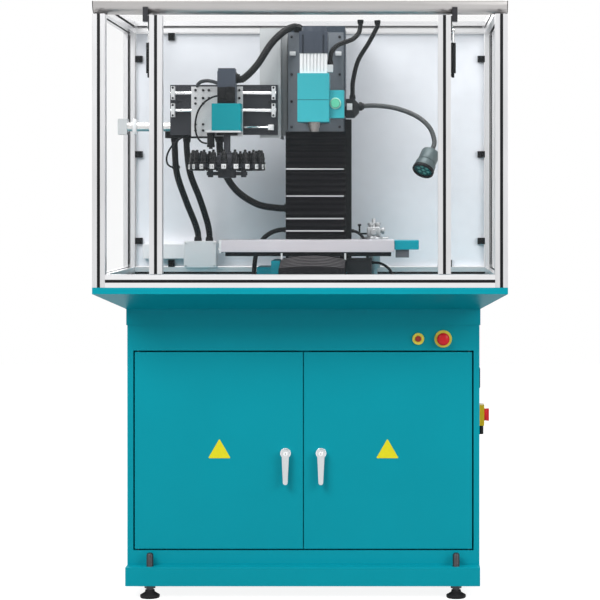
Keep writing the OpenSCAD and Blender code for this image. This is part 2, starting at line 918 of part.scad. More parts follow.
module hinge_blocks() {
    low = door_axis_z - 12;
    pair() {
        difference() {
            block([leaf_x + leaf_t + run, tray_front + 2, low],
                [leaf_x + leaf_t + run + hinge_block_w, tray_front + profile - 6, beam_z + 20]);
            translate([leaf_x, tray_front + profile - 2, enclosure_top - 2]) rotate([0, 90, 0])
                cylinder(r = beam_r + 0.2, h = 2 * hinge_block_w, $fn = 96);
            block([leaf_x, tray_front + profile - 2 - 0.2, beam_z],
                [leaf_x + 2 * hinge_block_w, tray_front + profile, beam_z + 30]);
            x_bar(leaf_x, leaf_x + 2 * hinge_block_w, door_axis_y, door_axis_z, hinge_pin_d + 0.1);
        }
        x_bar(leaf_x + run, leaf_x + leaf_t + run + hinge_block_w, door_axis_y, door_axis_z, hinge_pin_d);
    }
}

module strut_brackets() {
    back = tray_front + profile;
    pair() {
        translate([ear_x, 0, 0]) rotate([90, 0, 90]) linear_extrude(ear_t) polygon([
            [back, beam_z + 2], [back, beam_z + 14], [strut_top_y + 10, beam_z + 14],
            [strut_top_y + 10, strut_top_z - 10], [strut_top_y - 8, strut_top_z - 10],
            [strut_top_y - 8, beam_z + 2]
        ]);
        x_bar(ear_x + ear_t, strut_x + eye_t / 2 + 2, strut_top_y, strut_top_z, strut_pin_d);
    }
}

module door_brackets() {
    color(graphite) {
        hinge_blocks();
        strut_brackets();
    }
}

module door_stiles() {
    half = slot_w / 2;
    color(silver) for (side = [-1, 1]) upright(side * stile_x, front_y, stile_z, stile_top);
    color(black) for (side = [-1, 1])
        block([side * stile_x - half, tray_front + strip_recess, stile_z],
            [side * stile_x + half, tray_front + strip_t, stile_top]);
}

module door_sheet() {
    color(clear) block([-sheet_half, sheet_y, stile_z], [sheet_half, sheet_y + pane_t, stile_top]);
}

module door_fittings() {
    back = sheet_y + pane_t;
    color(graphite) pair() {
        difference() {
            block([leaf_x, tray_front + 4, door_axis_z - 40],
                [leaf_x + leaf_t, tray_front + profile - 4, stile_top - 2]);
            x_bar(leaf_x - over, leaf_x + leaf_t + over, door_axis_y, door_axis_z, hinge_pin_d + 2 * run);
        }
        translate([ear_x, 0, 0]) rotate([90, 0, 90]) linear_extrude(ear_t) polygon([
            [back, strut_low_z - 16], [back, strut_low_z + 16],
            [strut_top_y + 8, strut_low_z + 8], [strut_top_y + 8, strut_low_z - 8]
        ]);
        x_bar(ear_x + ear_t, strut_x - eye_t / 2 - 0.3, strut_top_y, strut_low_z, strut_pin_d + 4);
    }
}

module strut_rod() {
    difference() {
        union() {
            x_bar(strut_x - eye_t / 2, strut_x + eye_t / 2, strut_top_y, strut_top_z, eye_d);
            translate([strut_x, strut_top_y, strut_top_z - rod_reach - eye_d / 2 + 2])
                cylinder(d = strut_rod_d, h = rod_reach);
        }
        x_bar(strut_x - eye_t, strut_x + eye_t, strut_top_y, strut_top_z, strut_pin_d + 2 * run);
    }
}

module strut_tube() {
    translate([strut_x, strut_top_y, strut_low_z + tube_foot]) difference() {
        cylinder(d = tube_d, h = tube_l);
        translate([0, 0, 4]) cylinder(d = strut_rod_d + 2 * run, h = tube_l);
    }
    difference() {
        x_bar(strut_x - eye_t / 2, strut_x + eye_t / 2, strut_top_y, strut_low_z, eye_d);
        x_bar(strut_x - eye_t, strut_x + eye_t, strut_top_y, strut_low_z, strut_pin_d);
    }
}

module left_strut_rod() { color(steel) mirror([1, 0, 0]) strut_rod(); }
module right_strut_rod() { color(steel) strut_rod(); }
module left_strut_tube() { color(black) mirror([1, 0, 0]) strut_tube(); }
module right_strut_tube() { color(black) strut_tube(); }

// Mill

module mill_base() {
    half = base_w / 2;
    color(teal) difference() {
        union() {
            block([spindle_x - half - base_foot, base_step_y, floor_z],
                [spindle_x + half + base_foot, column_back, floor_z + base_foot]);
            block([spindle_x - half, base_step_y, floor_z], [spindle_x + half, column_back, base_top]);
            block([spindle_x - half, base_front, base_step_z],
                [spindle_x + half, base_step_y + over, base_top]);
        }
        block([spindle_x - half + casting_wall, base_step_y + casting_wall, floor_z - over],
            [spindle_x + half - casting_wall, column_y - casting_wall, base_top - casting_wall]);
    }
    color(teal) base_wing();
    color(black) base_switches();
    color(steel) for (side = [-1, 1])
        block([spindle_x + side * way_x - way_w / 2, base_front + 20, base_top - way_t],
            [spindle_x + side * way_x + way_w / 2, column_y - 20, base_top]);
}

// Ledge and guard along the left side of the ways
module base_wing() {
    left = spindle_x - base_w / 2;
    guard = spindle_x - saddle_w / 2 - guard_gap;
    block([left - wing_w, saddle_y - 45, base_step_z], [left + over, column_y - 10, wing_z]);
    block([guard - guard_t, saddle_y - 85, base_step_z], [guard, column_y - 20, guard_z]);
}

// Switch housing along the right side of the ways
module base_switches() {
    right = spindle_x + saddle_w / 2 + guard_gap;
    outer = spindle_x + base_w / 2;
    block([right, switch_front, base_top - over], [right + switch_w, switch_front + switch_d, switch_z]);
    block([outer - over, switch_front, base_step_z], [right + switch_w, switch_front + switch_d, base_top]);
}

module saddle() {
    y0 = saddle_y - saddle_d / 2;
    y1 = saddle_y + saddle_d / 2;
    color(mid_grey) {
        block([spindle_x - saddle_w / 2, y0, saddle_z],
            [spindle_x + saddle_w / 2, y1, saddle_z + saddle_h - 14]);
        block([spindle_x - saddle_w / 2 + 20, saddle_y - table_way_w / 2, saddle_z + saddle_h - 14],
            [spindle_x + saddle_w / 2 - 20, saddle_y + table_way_w / 2, saddle_z + saddle_h]);
    }
}

module table() {
    y0 = saddle_y - table_w / 2;
    slot_pitch = 50;
    low_x = table_x - table_l / 2;
    color(silver) difference() {
        block([low_x, y0, table_low], [low_x + table_l, y0 + table_w, table_z]);
        for (n = [-1:1]) {
            block([low_x - over, saddle_y + n * slot_pitch - 6, table_z - 10],
                [low_x + table_l + over, saddle_y + n * slot_pitch + 6, table_z + over]);
            block([low_x - over, saddle_y + n * slot_pitch - 10, table_z - 18],
                [low_x + table_l + over, saddle_y + n * slot_pitch + 10, table_z - 10]);
        }
    }
    color(black) block([low_x + 10, saddle_y - table_way_w / 2, table_way_z],
        [low_x + table_l - 10, saddle_y + table_way_w / 2, table_low]);
}

module table_covers() {
    y0 = saddle_y - table_w / 2;
    low_x = table_x - table_l / 2;
    high_x = low_x + table_l;
    color(pale_grey) block([low_x - end_plate_t, y0, table_low - 4], [low_x, y0 + table_w, table_z]);
    color(teal) {
        block([high_x, y0 + 10, end_cover_z],
            [high_x + end_cover_l, y0 + table_w - 10, end_cover_z + end_cover_h]);
        block([high_x + 4, y0 + 20, end_cover_z - 26], [high_x + 48, y0 + table_w - 50, end_cover_z]);
    }
}

// Folded cover over the front ways, with sides and a ridged roof
module y_bellows() {
    first = bellows_front + 0.8;
    last = saddle_front - bellows_seat;
    folds = 8;
    pitch = (last - first) / (2 * folds);
    half = y_bellows_w / 2;
    top = y_bellows_top - base_top - 2 - 16;
    color(black) translate([spindle_x, 0, base_top + run]) difference() {
        linear_extrude(top) polygon(concat(
            [for (n = [0:2 * folds]) [-half + (n % 2) * 7, first + n * pitch]],
            [for (n = [2 * folds:-1:0]) [half - (n % 2) * 7, first + n * pitch]]
        ));
        translate([-half + 10, first - over, -over]) cube([2 * half - 20, last - first + 2 * over, top - 5]);
    }
    color(black) translate([spindle_x - half + 8, 0, base_top + run + top]) rotate([90, 0, 90])
        linear_extrude(2 * half - 16) polygon(concat(
            [[first, 0]],
            [for (n = [0:2 * folds]) [first + n * pitch, 14 - (n % 2) * 9]],
            [[last, 0]]
        ));
}

module column() {
    half = column_w / 2;
    color(mid_grey) difference() {
        block([spindle_x - half, column_y, base_top], [spindle_x + half, column_back, column_top]);
        block([spindle_x - half + column_wall, column_y + column_wall, base_top - over],
            [spindle_x + half - column_wall, column_back - column_wall, column_top - column_wall]);
    }
    color(steel) for (side = [-1, 1])
        block([spindle_x + side * rail_x - rail_w / 2, column_y - rail_t, rail_low],
            [spindle_x + side * rail_x + rail_w / 2, column_y, column_top - 34]);
    color(black) block([spindle_x + half - over, column_y + 2, base_top],
        [spindle_x + half + duct_w, column_y + 2 + duct_d, duct_top]);
}

module z_bellows() {
    half = z_bellows_w / 2;
    low = z_bellows_low;
    high = z_bellows_top - bellows_seat - 22;
    pitch = (high - low) / (2 * z_folds);
    color(black) translate([spindle_x - half, 0, 0]) rotate([90, 0, 90])
        linear_extrude(2 * half) polygon(concat(
        [[bellows_y - 6, low]],
        [for (n = [0:2 * z_folds]) [bellows_y - 8 - (n % 2) * 14, low + n * pitch]],
        [[bellows_y - 6, high]]
    ));
}

module head_slide() {
    half = z_plate_w / 2;
    color(mid_grey) {
        block([spindle_x - half, z_plate_y, z_plate_low],
            [spindle_x + half, z_plate_y + z_plate_t, z_plate_low + z_plate_h]);
        block([spindle_x - 42, spindle_y + 54.4, cover_z + 4],
            [spindle_x + 42, z_plate_y + over, cover_z + cover_h - 4]);
        for (side = [-1, 1], z = [z_plate_low + 30, z_plate_low + z_plate_h - 110]) difference() {
            block([spindle_x + side * rail_x - 24, z_plate_y + z_plate_t - over, z],
                [spindle_x + side * rail_x + 24, column_y - 2, z + 80]);
            block([spindle_x + side * rail_x - rail_w / 2 - run, column_y - rail_t - run, z - over],
                [spindle_x + side * rail_x + rail_w / 2 + run, column_y, z + 80 + over]);
        }
    }
}

module head_cover() {
    half = cover_w / 2;
    right = spindle_x + half;
    color(pale_teal) difference() {
        block([spindle_x - half, cover_front, cover_z],
            [right, cover_front + cover_d, cover_z + cover_h]);
        translate([spindle_x, spindle_y, cover_z - over]) cylinder(d = nose_d + 2 * run, h = cover_h / 2);
        block([spindle_x - half - over, cover_front - over, cover_z + 70],
            [right + over, cover_front + 1, cover_z + 71.5]);
    }
    color(pale_teal) difference() {
        block([right, cover_front + 20, side_box_z],
            [right + side_box_w, cover_front + 80, side_box_z + side_box_h]);
        y_bar(right + side_box_w * 0.42, cover_front + 20 - over, cover_front + 46,
            side_box_z + side_box_h / 2 + 2, 16 + 2 * run);
    }
}

module spindle_motor() {
    half = motor_w / 2;
    color([0.92, 0.92, 0.93]) difference() {
        block([spindle_x - half, spindle_y - half, fin_z - 0.6],
            [spindle_x + half, spindle_y + half, motor_z]);
        for (x = [-half + 10:11:half - 10])
            block([spindle_x + x, spindle_y - half - over, fin_z + 4],
                [spindle_x + x + 4, spindle_y - half + 5, motor_z + over]);
    }
    color(graphite) {
        difference() {
            block([spindle_x - half - 2, spindle_y - half - 2, motor_z],
                [spindle_x + half + 2, spindle_y + half + 2, motor_z + motor_h]);
            for (x = [-half + 8, half - 14])
                block([spindle_x + x, spindle_y - half - 2 - over, motor_z - over],
                    [spindle_x + x + 6, spindle_y - half + 3, motor_z + motor_h - 12]);
        }
        translate([spindle_x, spindle_y, motor_z + motor_h]) cylinder(d = motor_w - 8, h = motor_cap_h - 8);
    }
    color([0.9, 0.9, 0.9]) block([spindle_x + half, spindle_y - 10, fin_z + 6],
        [spindle_x + half + 18, spindle_y + 20, fin_z + 30]);
}

module spindle() {
    color(steel) translate([spindle_x, spindle_y, 0]) difference() {
        union() {
            translate([0, 0, nose_z + 12]) cylinder(d = nose_d, h = cover_z + 60 - nose_z - 12);
            translate([0, 0, nose_z]) cylinder(d = nose_d - 8, h = 12);
        }
        translate([0, 0, nose_z - over]) cylinder(d = 18, h = 46);
    }
}

module start_button() {
    x = spindle_x + cover_w / 2 + side_box_w * 0.42;
    z = side_box_z + side_box_h / 2 + 2;
    color([0.3, 0.8, 0.6]) {
        y_bar(x, cover_front + 20 - press - 6, cover_front + 20 - press, z, start_d);
        y_bar(x, cover_front + 20 - press, cover_front + 40, z, 16);
    }
}

// Tool changer

module atc_frame() {
    right = atc_plate_x + atc_plate_w;
    left_side = spindle_x - column_w / 2;
    color(black) block([atc_plate_x, atc_plate_y, atc_plate_z],
        [right, atc_plate_y + atc_plate_t, atc_plate_z + atc_plate_h]);
    color(pale_grey) {
        block([right - 60, atc_plate_y + atc_plate_t, atc_plate_z - 10],
            [left_side - 24, atc_plate_y + atc_plate_t + bracket_t, bracket_top]);
        block([left_side - 24, atc_plate_y + atc_plate_t, atc_plate_z - 10],
            [left_side - 18, column_y + 90, bracket_top]);
        block([left_side - 18, column_y + 30, atc_plate_z + 20],
            [left_side, column_y + 80, bracket_top - 20]);
        x_bar(-post_x + pane_t / 2 + 30, atc_plate_x + 200, tube_y, tube_z, support_d);
        block([-post_x + pane_t / 2, tube_y - 22, tube_z - 26],
            [-post_x + pane_t / 2 + 30, tube_y + 22, tube_z + 26]);
        block([atc_plate_x + 60, atc_plate_y + atc_plate_t, tube_z - 12],
            [atc_plate_x + 100, tube_y - support_d / 2 + 2, tube_z + 12]);
    }
    color(black) block([manifold_x, tube_y, manifold_z],
        [manifold_x + manifold_w, tube_y + manifold_d, tube_z - support_d / 2 + 1]);
}

module atc_rods() {
    right = atc_plate_x + atc_plate_w;
    color([0.9, 0.9, 0.92]) for (z = [rod_mid_z, rod_high_z]) {
        x_bar(atc_plate_x + 4, right - 4, rod_y, z, rod_d);
        for (x = [atc_plate_x + 6, right - 6 - support_w]) difference() {
            block([x, rod_y - 11, z - 22], [x + support_w, atc_plate_y, z + 22]);
            x_bar(x - over, x + support_w + over, rod_y, z, rod_d + 0.1);
        }
    }
    color([0.9, 0.9, 0.92]) {
        x_bar(carriage_x + carriage_w + 2, right - 30, rod_y, rod_low_z, rod_d - 2);
        block([right - 30, rod_y - 9, rod_low_z - 9], [right - 12, atc_plate_y, rod_low_z + 9]);
    }
}

module atc_carriage() {
    right = carriage_x + carriage_w;
    axis_x = -carousel_x;
    color(pale_grey) {
        block([carriage_x, carriage_y, carriage_z],
            [right, carriage_y + carriage_t, carriage_z + carriage_h]);
        for (z = [rod_mid_z, rod_high_z], x = [carriage_x + 4, carriage_x + 8 + bush_l]) difference() {
            block([x, carriage_y + carriage_t, z - bush_d / 2 - 3],
                [x + bush_l, rod_y + 11, z + bush_d / 2 + 3]);
            x_bar(x - over, x + bush_l + over, rod_y, z, rod_d + 2 * run);
        }
    }
    color(teal) difference() {
        block([axis_x - housing_w / 2, carousel_y - housing_d / 2, housing_z],
            [axis_x + housing_w / 2, carriage_y, housing_z + housing_h]);
        translate([axis_x, carousel_y, housing_z - over]) cylinder(d = shaft_d + 2 * run, h = 40);
    }
    color(black) translate([axis_x, carousel_y, housing_z - flange_t]) difference() {
        cylinder(d = flange_d, h = flange_t);
        translate([0, 0, -over]) cylinder(d = shaft_d + 2 * run, h = flange_t + 2 * over);
    }
    color(graphite) {
        block([axis_x - drive_side / 2, carousel_y - drive_side / 2, housing_z + housing_h],
            [axis_x + drive_side / 2, carousel_y + drive_side / 2, drive_top - 10]);
        block([axis_x - drive_side / 2 + 2, carousel_y - drive_side / 2 + 2, drive_top - 10],
            [axis_x + drive_side / 2 - 2, carousel_y + drive_side / 2 - 2, drive_top]);
    }
}

module pocket_places() {
    translate([-carousel_x, carousel_y, 0]) for (n = [0:pockets - 1])
        rotate(n * 360 / pockets + 15) translate([pocket_r, 0, 0]) children();
}

module carousel() {
    shaft_top = housing_z + 30 - carousel_z;
    color(black) {
        translate([-carousel_x, carousel_y, carousel_z]) {
            translate([0, 0, -hub_h]) cylinder(d = hub_d, h = hub_h);
            cylinder(r = carousel_r, h = carousel_t);
            rotate_extrude() polygon([
                [0, 0], [index_d / 2 - 8, 0], [index_d / 2 - 8, index_z - 8], [index_d / 2, index_z],
                [index_d / 2, index_z + 10], [hub_d / 2, index_z + 14], [hub_d / 2, index_z + 36],
                [shaft_d / 2, index_z + 36], [shaft_d / 2, shaft_top], [0, shaft_top]
            ]);
        }
        difference() {
            pocket_places() translate([-fork_w, -fork_w / 2, carousel_z]) cube([fork_w + 9, fork_w, fork_t]);
            pocket_places() translate([0, 0, carousel_z - over])
                cylinder(d = holder_d - 6 + 0.2, h = fork_t + 2 * over);
        }
    }
}

module tool_holders() {
    color(black) pocket_places() translate([0, 0, carousel_z]) {
        translate([0, 0, -4]) cylinder(d = holder_d - 6, h = fork_t + 8);
        translate([0, 0, fork_t]) cylinder(d = holder_d, h = 8);
        translate([0, 0, fork_t + 8]) cylinder(d1 = holder_d - 3, d2 = holder_d / 2, h = holder_taper_h - 16);
        translate([0, 0, fork_t + holder_taper_h - 8]) cylinder(d = 9, h = 10);
        translate([0, 0, -10]) cylinder(d = holder_d - 2, h = 10);
    }
    color("white") pocket_places() translate([9, -tag_w / 2, carousel_z - 6]) cube([tag_t, tag_w, tag_h]);
}

// Lamp and conduits

module lamp() {
    last = arm_points[len(arm_points) - 1];
    color(black) {
        block([lamp_box_x, lamp_box_y, lamp_box_z],
            [lamp_box_x + lamp_box_w, lamp_box_y + lamp_box_d, lamp_box_z + lamp_box_h]);
        block([spindle_x + column_w / 2, lamp_box_y + lamp_box_d - 4, lamp_box_z + 8],
            [lamp_box_x + 20, column_y + 40, lamp_box_z + 40]);
    }
    color(graphite) {
        flexible_tube(arm_points, arm_d);
        translate(last) rotate([-lamp_lean, lamp_tilt, 0]) translate([0, 0, -lamp_l]) difference() {
            rotate_extrude() polygon([
                [0, 0], [lamp_d / 2, 0], [lamp_d / 2, 30], [lamp_d / 2 - 4, 34],
                [lamp_d / 2 - 4, lamp_l - 14],
                [lamp_d / 2 - 14, lamp_l - 2], [arm_d / 2, lamp_l], [0, lamp_l]
            ]);
            translate([0, 0, -over]) cylinder(d = lamp_d - 8, h = 8 + over);
        }
    }
}

module tray_conduit_a() {
    color(black) flexible_tube(tray_conduit_a_route, tray_conduit_d);
}

module tray_conduit_b() {
    color(black) flexible_tube(tray_conduit_b_route, tray_conduit_d);
}

module carousel_conduit() {
    color(black) flexible_tube(carousel_conduit_route, conduit_d);
}

module roof_conduit() {
    color(black) flexible_tube(roof_conduit_route, hose_d);
}

module head_hose() {
    color(black) flexible_tube(head_hose_route, hose_d);
}

module motor_conduit() {
    color(black) flexible_tube(motor_conduit_route, conduit_d, across = [0, 0, 1]);
}

// Air filter and oiler that stands on the tray behind the table
module air_unit() {
    color(steel) translate([air_x, air_y, floor_z]) {
        cylinder(d = 26, h = 120);
        translate([0, 0, 120]) cylinder(d = 44, h = 90);
        translate([0, 0, 210]) cylinder(d = 60, h = 14);
        translate([0, 0, 224]) cylinder(d1 = 40, d2 = 30, h = 18);
        translate([0, 0, 242]) cylinder(d = 12, h = 44);
        x_bar(-46, 50, 0, 217, 16);
    }
}

module cable_box() {
    color(pale_grey) {
        block([box_x, back_pane_y - pane_t / 2 - box_d, box_z],
            [box_x + box_w, back_pane_y - pane_t / 2, box_z + box_h]);
        block([-inner_x + 30, back_pane_y - pane_t / 2 - 40, box_z + 30],
            [box_x, back_pane_y - pane_t / 2, box_z + 80]);
    }
}

cabinet_body();
plinth();
levelling_feet();
door_pivots();
tray();
mounting_plate();
control_gear();
left_door();
right_door();
left_latch();
right_latch();
left_handle();
right_handle();
button_collars();
estop_knob();
reset_button();
isolator_box();
isolator_knob();
side_vent();
frame_posts();
frame_rails();
top_beam();
profile_trim();
clear_panels();
back_panel();
panel_holders();
door_brackets();
door_stiles();
door_sheet();
door_fittings();
left_strut_rod();
right_strut_rod();
left_strut_tube();
right_strut_tube();
mill_base();
saddle();
table();
table_covers();
y_bellows();
column();
z_bellows();
head_slide();
head_cover();
spindle_motor();
spindle();
start_button();
atc_frame();
atc_rods();
atc_carriage();
carousel();
tool_holders();
lamp();
tray_conduit_a();
tray_conduit_b();
carousel_conduit();
roof_conduit();
head_hose();
motor_conduit();
air_unit();
cable_box();
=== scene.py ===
import math

import bpy
from mathutils import Matrix, Vector


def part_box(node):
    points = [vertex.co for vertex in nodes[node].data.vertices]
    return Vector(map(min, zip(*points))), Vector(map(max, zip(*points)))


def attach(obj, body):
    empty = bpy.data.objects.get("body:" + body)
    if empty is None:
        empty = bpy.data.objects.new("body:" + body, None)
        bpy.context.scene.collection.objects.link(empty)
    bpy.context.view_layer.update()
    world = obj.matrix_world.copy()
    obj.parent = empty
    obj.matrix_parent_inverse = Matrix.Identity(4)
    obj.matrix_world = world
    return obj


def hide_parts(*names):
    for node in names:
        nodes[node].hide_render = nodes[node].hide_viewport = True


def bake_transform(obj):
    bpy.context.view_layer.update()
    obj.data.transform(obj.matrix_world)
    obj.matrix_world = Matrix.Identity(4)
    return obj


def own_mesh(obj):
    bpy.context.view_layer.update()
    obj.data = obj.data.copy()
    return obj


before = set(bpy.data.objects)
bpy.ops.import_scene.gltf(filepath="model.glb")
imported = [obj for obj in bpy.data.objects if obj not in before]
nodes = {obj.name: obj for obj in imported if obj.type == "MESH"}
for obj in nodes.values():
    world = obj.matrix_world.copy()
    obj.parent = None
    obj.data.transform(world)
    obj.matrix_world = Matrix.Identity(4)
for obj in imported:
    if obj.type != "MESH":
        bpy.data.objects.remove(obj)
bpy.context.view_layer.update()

# Studio: a pale floor that runs into the background, soft lights from above and both sides, and a camera
# that stands well back at eye height, a little to the right of the machine, as for a catalogue picture.
bpy.context.scene.view_settings.view_transform = "Standard"
camera_place = (0.2976, -6.375, 1.272)
camera_lens = 116.3
bpy.ops.object.camera_add(location=camera_place, rotation=(math.radians(90), 0, 0))
camera = bpy.context.object
camera.data.lens = camera_lens
camera.data.sensor_width = 36
camera.data.shift_x = -0.16
camera.data.shift_y = -0.1667
bpy.context.scene.camera = camera


def add_node(tree, kind, values=(), operation=None):
    """A new shader node with some of its inputs set."""
    node = tree.nodes.new(kind)
    if operation:
        node.operation = operation
    for socket, value in values:
        node.inputs[socket].default_value = value
    return node


def new_material(name):
    """A material, its node tree, the call that links its nodes, and its main shader."""
    made = bpy.data.materials.new(name)
    made.use_nodes = True
    tree = made.node_tree
    return made, tree, tree.links.new, tree.nodes["Principled BSDF"]


def pale_rays(tree):
    """One for rays from the camera, off a gloss or through a clear sheet, and nought for other light."""
    ray = tree.nodes.new("ShaderNodeLightPath")
    pale = ray.outputs["Is Camera Ray"]
    for kind in ("Is Glossy Ray", "Is Transmission Ray"):
        either = add_node(tree, "ShaderNodeMath", operation="MAXIMUM")
        tree.links.new(pale, either.inputs[0])
        tree.links.new(ray.outputs[kind], either.inputs[1])
        pale = either.outputs[0]
    return pale


world = bpy.data.worlds.new("studio")
bpy.context.scene.world = world
world.use_nodes = True
sky = world.node_tree.nodes
sky_link = world.node_tree.links.new
sky["Background"].inputs["Color"].default_value = (0.9, 0.93, 0.96, 1)
sky["Background"].inputs["Strength"].default_value = 0.42
white = (1, 1, 1, 1)
backdrop = add_node(world.node_tree, "ShaderNodeBackground", (("Color", white), ("Strength", 1.0)))
backdrop_mix = sky.new("ShaderNodeMixShader")
sky_link(pale_rays(world.node_tree), backdrop_mix.inputs[0])
sky_link(sky["Background"].outputs[0], backdrop_mix.inputs[1])
sky_link(backdrop.outputs[0], backdrop_mix.inputs[2])
sky_link(backdrop_mix.outputs[0], sky["World Output"].inputs[0])

for light_name, place, aim, size, power in (
    ("key_light", (-2.6, -3.6, 4.2), (0, 0, 1.0), 2.6, 180),
    ("fill_light", (3.4, -3.0, 2.6), (0, 0, 0.9), 2.6, 88),
    ("top_light", (0.2, -0.4, 4.6), (0, 0, 1.0), 2.4, 100),
    ("back_light", (-1.2, 4.0, 3.2), (0, 0, 1.0), 2.4, 60),
):
    bpy.ops.object.light_add(type="AREA", location=place)
    lamp_light = bpy.context.object
    lamp_light.name = light_name
    lamp_light.data.energy = power
    lamp_light.data.size = size
    lamp_light.rotation_euler = (Vector(aim) - Vector(place)).to_track_quat("-Z", "Y").to_euler()

bpy.ops.mesh.primitive_plane_add(size=14, location=(0, 1.5, 0))
floor = bpy.context.object
floor.name = "studio_floor"
floor_finish, floor_tree, floor_link, floor_shader = new_material("studio_floor")
floor_shader.inputs["Base Color"].default_value = (0.28, 0.28, 0.28, 1)
floor_shader.inputs["Roughness"].default_value = 0.9
floor_shader.inputs["Emission Color"].default_value = white
floor_lift = add_node(floor_tree, "ShaderNodeMath", ((1, 0.9),), "MULTIPLY")
floor_link(pale_rays(floor_tree), floor_lift.inputs[0])
floor_link(floor_lift.outputs[0], floor_shader.inputs["Emission Strength"])
floor.data.materials.append(floor_finish)


# Corrugated conduits: black plastic tubes with ring-shaped ribs, pushed on to glands at both ends.
# Six of them hang between the tool changer, the column, the roof, the lamp and the box at the back.
def finish(name, colour, rough, metal=0.0, grain=200, depth=0.05, spread=0.06,
           stretch=(1, 1, 1), shine=0.5):
    """A finish whose colour, gloss and grain vary a little over the surface."""
    made, tree, link, shader = new_material(name)
    where = add_node(tree, "ShaderNodeTexCoord")
    turn = add_node(tree, "ShaderNodeMapping", (("Scale", stretch),))
    link(where.outputs["Object"], turn.inputs["Vector"])
    fine = add_node(tree, "ShaderNodeTexNoise", (("Scale", grain), ("Detail", 4)))
    link(turn.outputs[0], fine.inputs["Vector"])
    broad = add_node(tree, "ShaderNodeTexNoise", (("Scale", 3.5), ("Detail", 3)))
    link(where.outputs["Object"], broad.inputs["Vector"])
    both = add_node(tree, "ShaderNodeMath", ((1, 0.5),), "MULTIPLY_ADD")
    link(broad.outputs["Fac"], both.inputs[0])
    half = add_node(tree, "ShaderNodeMath", ((1, 0.5),), "MULTIPLY")
    link(fine.outputs["Fac"], half.inputs[0])
    link(half.outputs[0], both.inputs[2])
    shade = add_node(tree, "ShaderNodeValToRGB")
    dark, light = shade.color_ramp.elements
    dark.position = 0.3
    light.position = 0.7
    dark.color = (*[c * (1 - spread) for c in colour], 1)
    light.color = (*[min(1, c * (1 + spread)) for c in colour], 1)
    link(both.outputs[0], shade.inputs[0])
    link(shade.outputs[0], shader.inputs["Base Color"])
    gloss = add_node(tree, "ShaderNodeMapRange", (("To Min", max(0.03, rough - 0.06)),
                                                  ("To Max", rough + 0.06)))
    link(both.outputs[0], gloss.inputs["Value"])
    link(gloss.outputs[0], shader.inputs["Roughness"])
    bump = add_node(tree, "ShaderNodeBump", (("Strength", depth), ("Distance", 0.002)))
    link(fine.outputs["Fac"], bump.inputs["Height"])
    link(bump.outputs[0], shader.inputs["Normal"])
    shader.inputs["Metallic"].default_value = metal
    shader.inputs["Specular IOR Level"].default_value = shine
    return made


conduit_black = finish("conduit_black", (0.009, 0.009, 0.01), 0.4, grain=300, depth=0.04, shine=0.15)


def smooth_route(points, steps=12):
    """Points of one smooth curve through given points, in metres."""
    places = [Vector(p) * 0.001 for p in points]
    route = []
    for i in range(len(places) - 1):
        before = places[max(i - 1, 0)]
        here = places[i]
        there = places[i + 1]
        after = places[min(i + 2, len(places) - 1)]
        for n in range(steps):
            t = n / steps
            route.append(0.5 * (2 * here + (there - before) * t
                                + (2 * before - 5 * here + 4 * there - after) * t * t
                                + (3 * here - 3 * there + after - before) * t ** 3))
    route.append(places[-1])
    return route


def even_route(route, gap):
    """The same curve with points at equal steps."""
    walked = [0.0]
    for a, b in zip(route, route[1:]):
        walked.append(walked[-1] + (b - a).length)
    count = max(4, round(walked[-1] / gap))
    spaced = []
    k = 0
    for n in range(count + 1):
        goal = walked[-1] * n / count
        while k < len(route) - 2 and walked[k + 1] < goal:
            k += 1
        part = (goal - walked[k]) / max(1e-9, walked[k + 1] - walked[k])
        spaced.append(route[k].lerp(route[k + 1], min(1.0, part)))
    return spaced, walked[-1]


def ring_faces(rings, sides):
    """Faces of a skin over rings of points, with a flat cap at each end."""
    faces = []
    for i in range(rings - 1):
        for j in range(sides):
            k = (j + 1) % sides
            faces.append((i * sides + j, i * sides + k, (i + 1) * sides + k, (i + 1) * sides + j))
    faces.append(tuple(range(sides - 1, -1, -1)))
    faces.append(tuple((rings - 1) * sides + j for j in range(sides)))
    return faces


def from_points(name, points, edges, faces):
    """A new object from its points, edges and faces."""
    mesh = bpy.data.meshes.new(name)
    mesh.from_pydata(points, edges, faces)
    made = bpy.data.objects.new(name, mesh)
    bpy.context.collection.objects.link(made)
    return made


def tube_mesh(name, route, radii, sides=14):
    """A closed tube along a route, with one radius for each point."""
    heading = (route[1] - route[0]).normalized()
    across = heading.orthogonal().normalized()
    points = []
    for i, place in enumerate(route):
        new_heading = (route[min(i + 1, len(route) - 1)] - route[max(i - 1, 0)]).normalized()
        across = (heading.rotation_difference(new_heading) @ across).normalized()
        heading = new_heading
        up = heading.cross(across)
        for j in range(sides):
            angle = 2 * math.pi * j / sides
            points.append(tuple(place + radii[i] * (math.cos(angle) * across + math.sin(angle) * up)))
    tube = from_points(name, points, [], ring_faces(len(route), sides))
    for face in tube.data.polygons:
        face.use_smooth = True
    return tube


def as_cord(tube, look):
    tube.data.materials.append(look)


rib_depth = 0.0014
rib_depth_share = 0.07


def conduit(node, points, diameter, rib):
    """A ribbed conduit that takes the place of its plain solid."""
    route, length = even_route(smooth_route(points), rib / 3)
    high = diameter / 2
    low = high - min(rib_depth, diameter * rib_depth_share)
    wave = (high, high, low)
    tube = tube_mesh(node + "_ribbed", route, [wave[i % 3] for i in range(len(route))])
    as_cord(tube, conduit_black)
    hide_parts(node)
    return tube, route


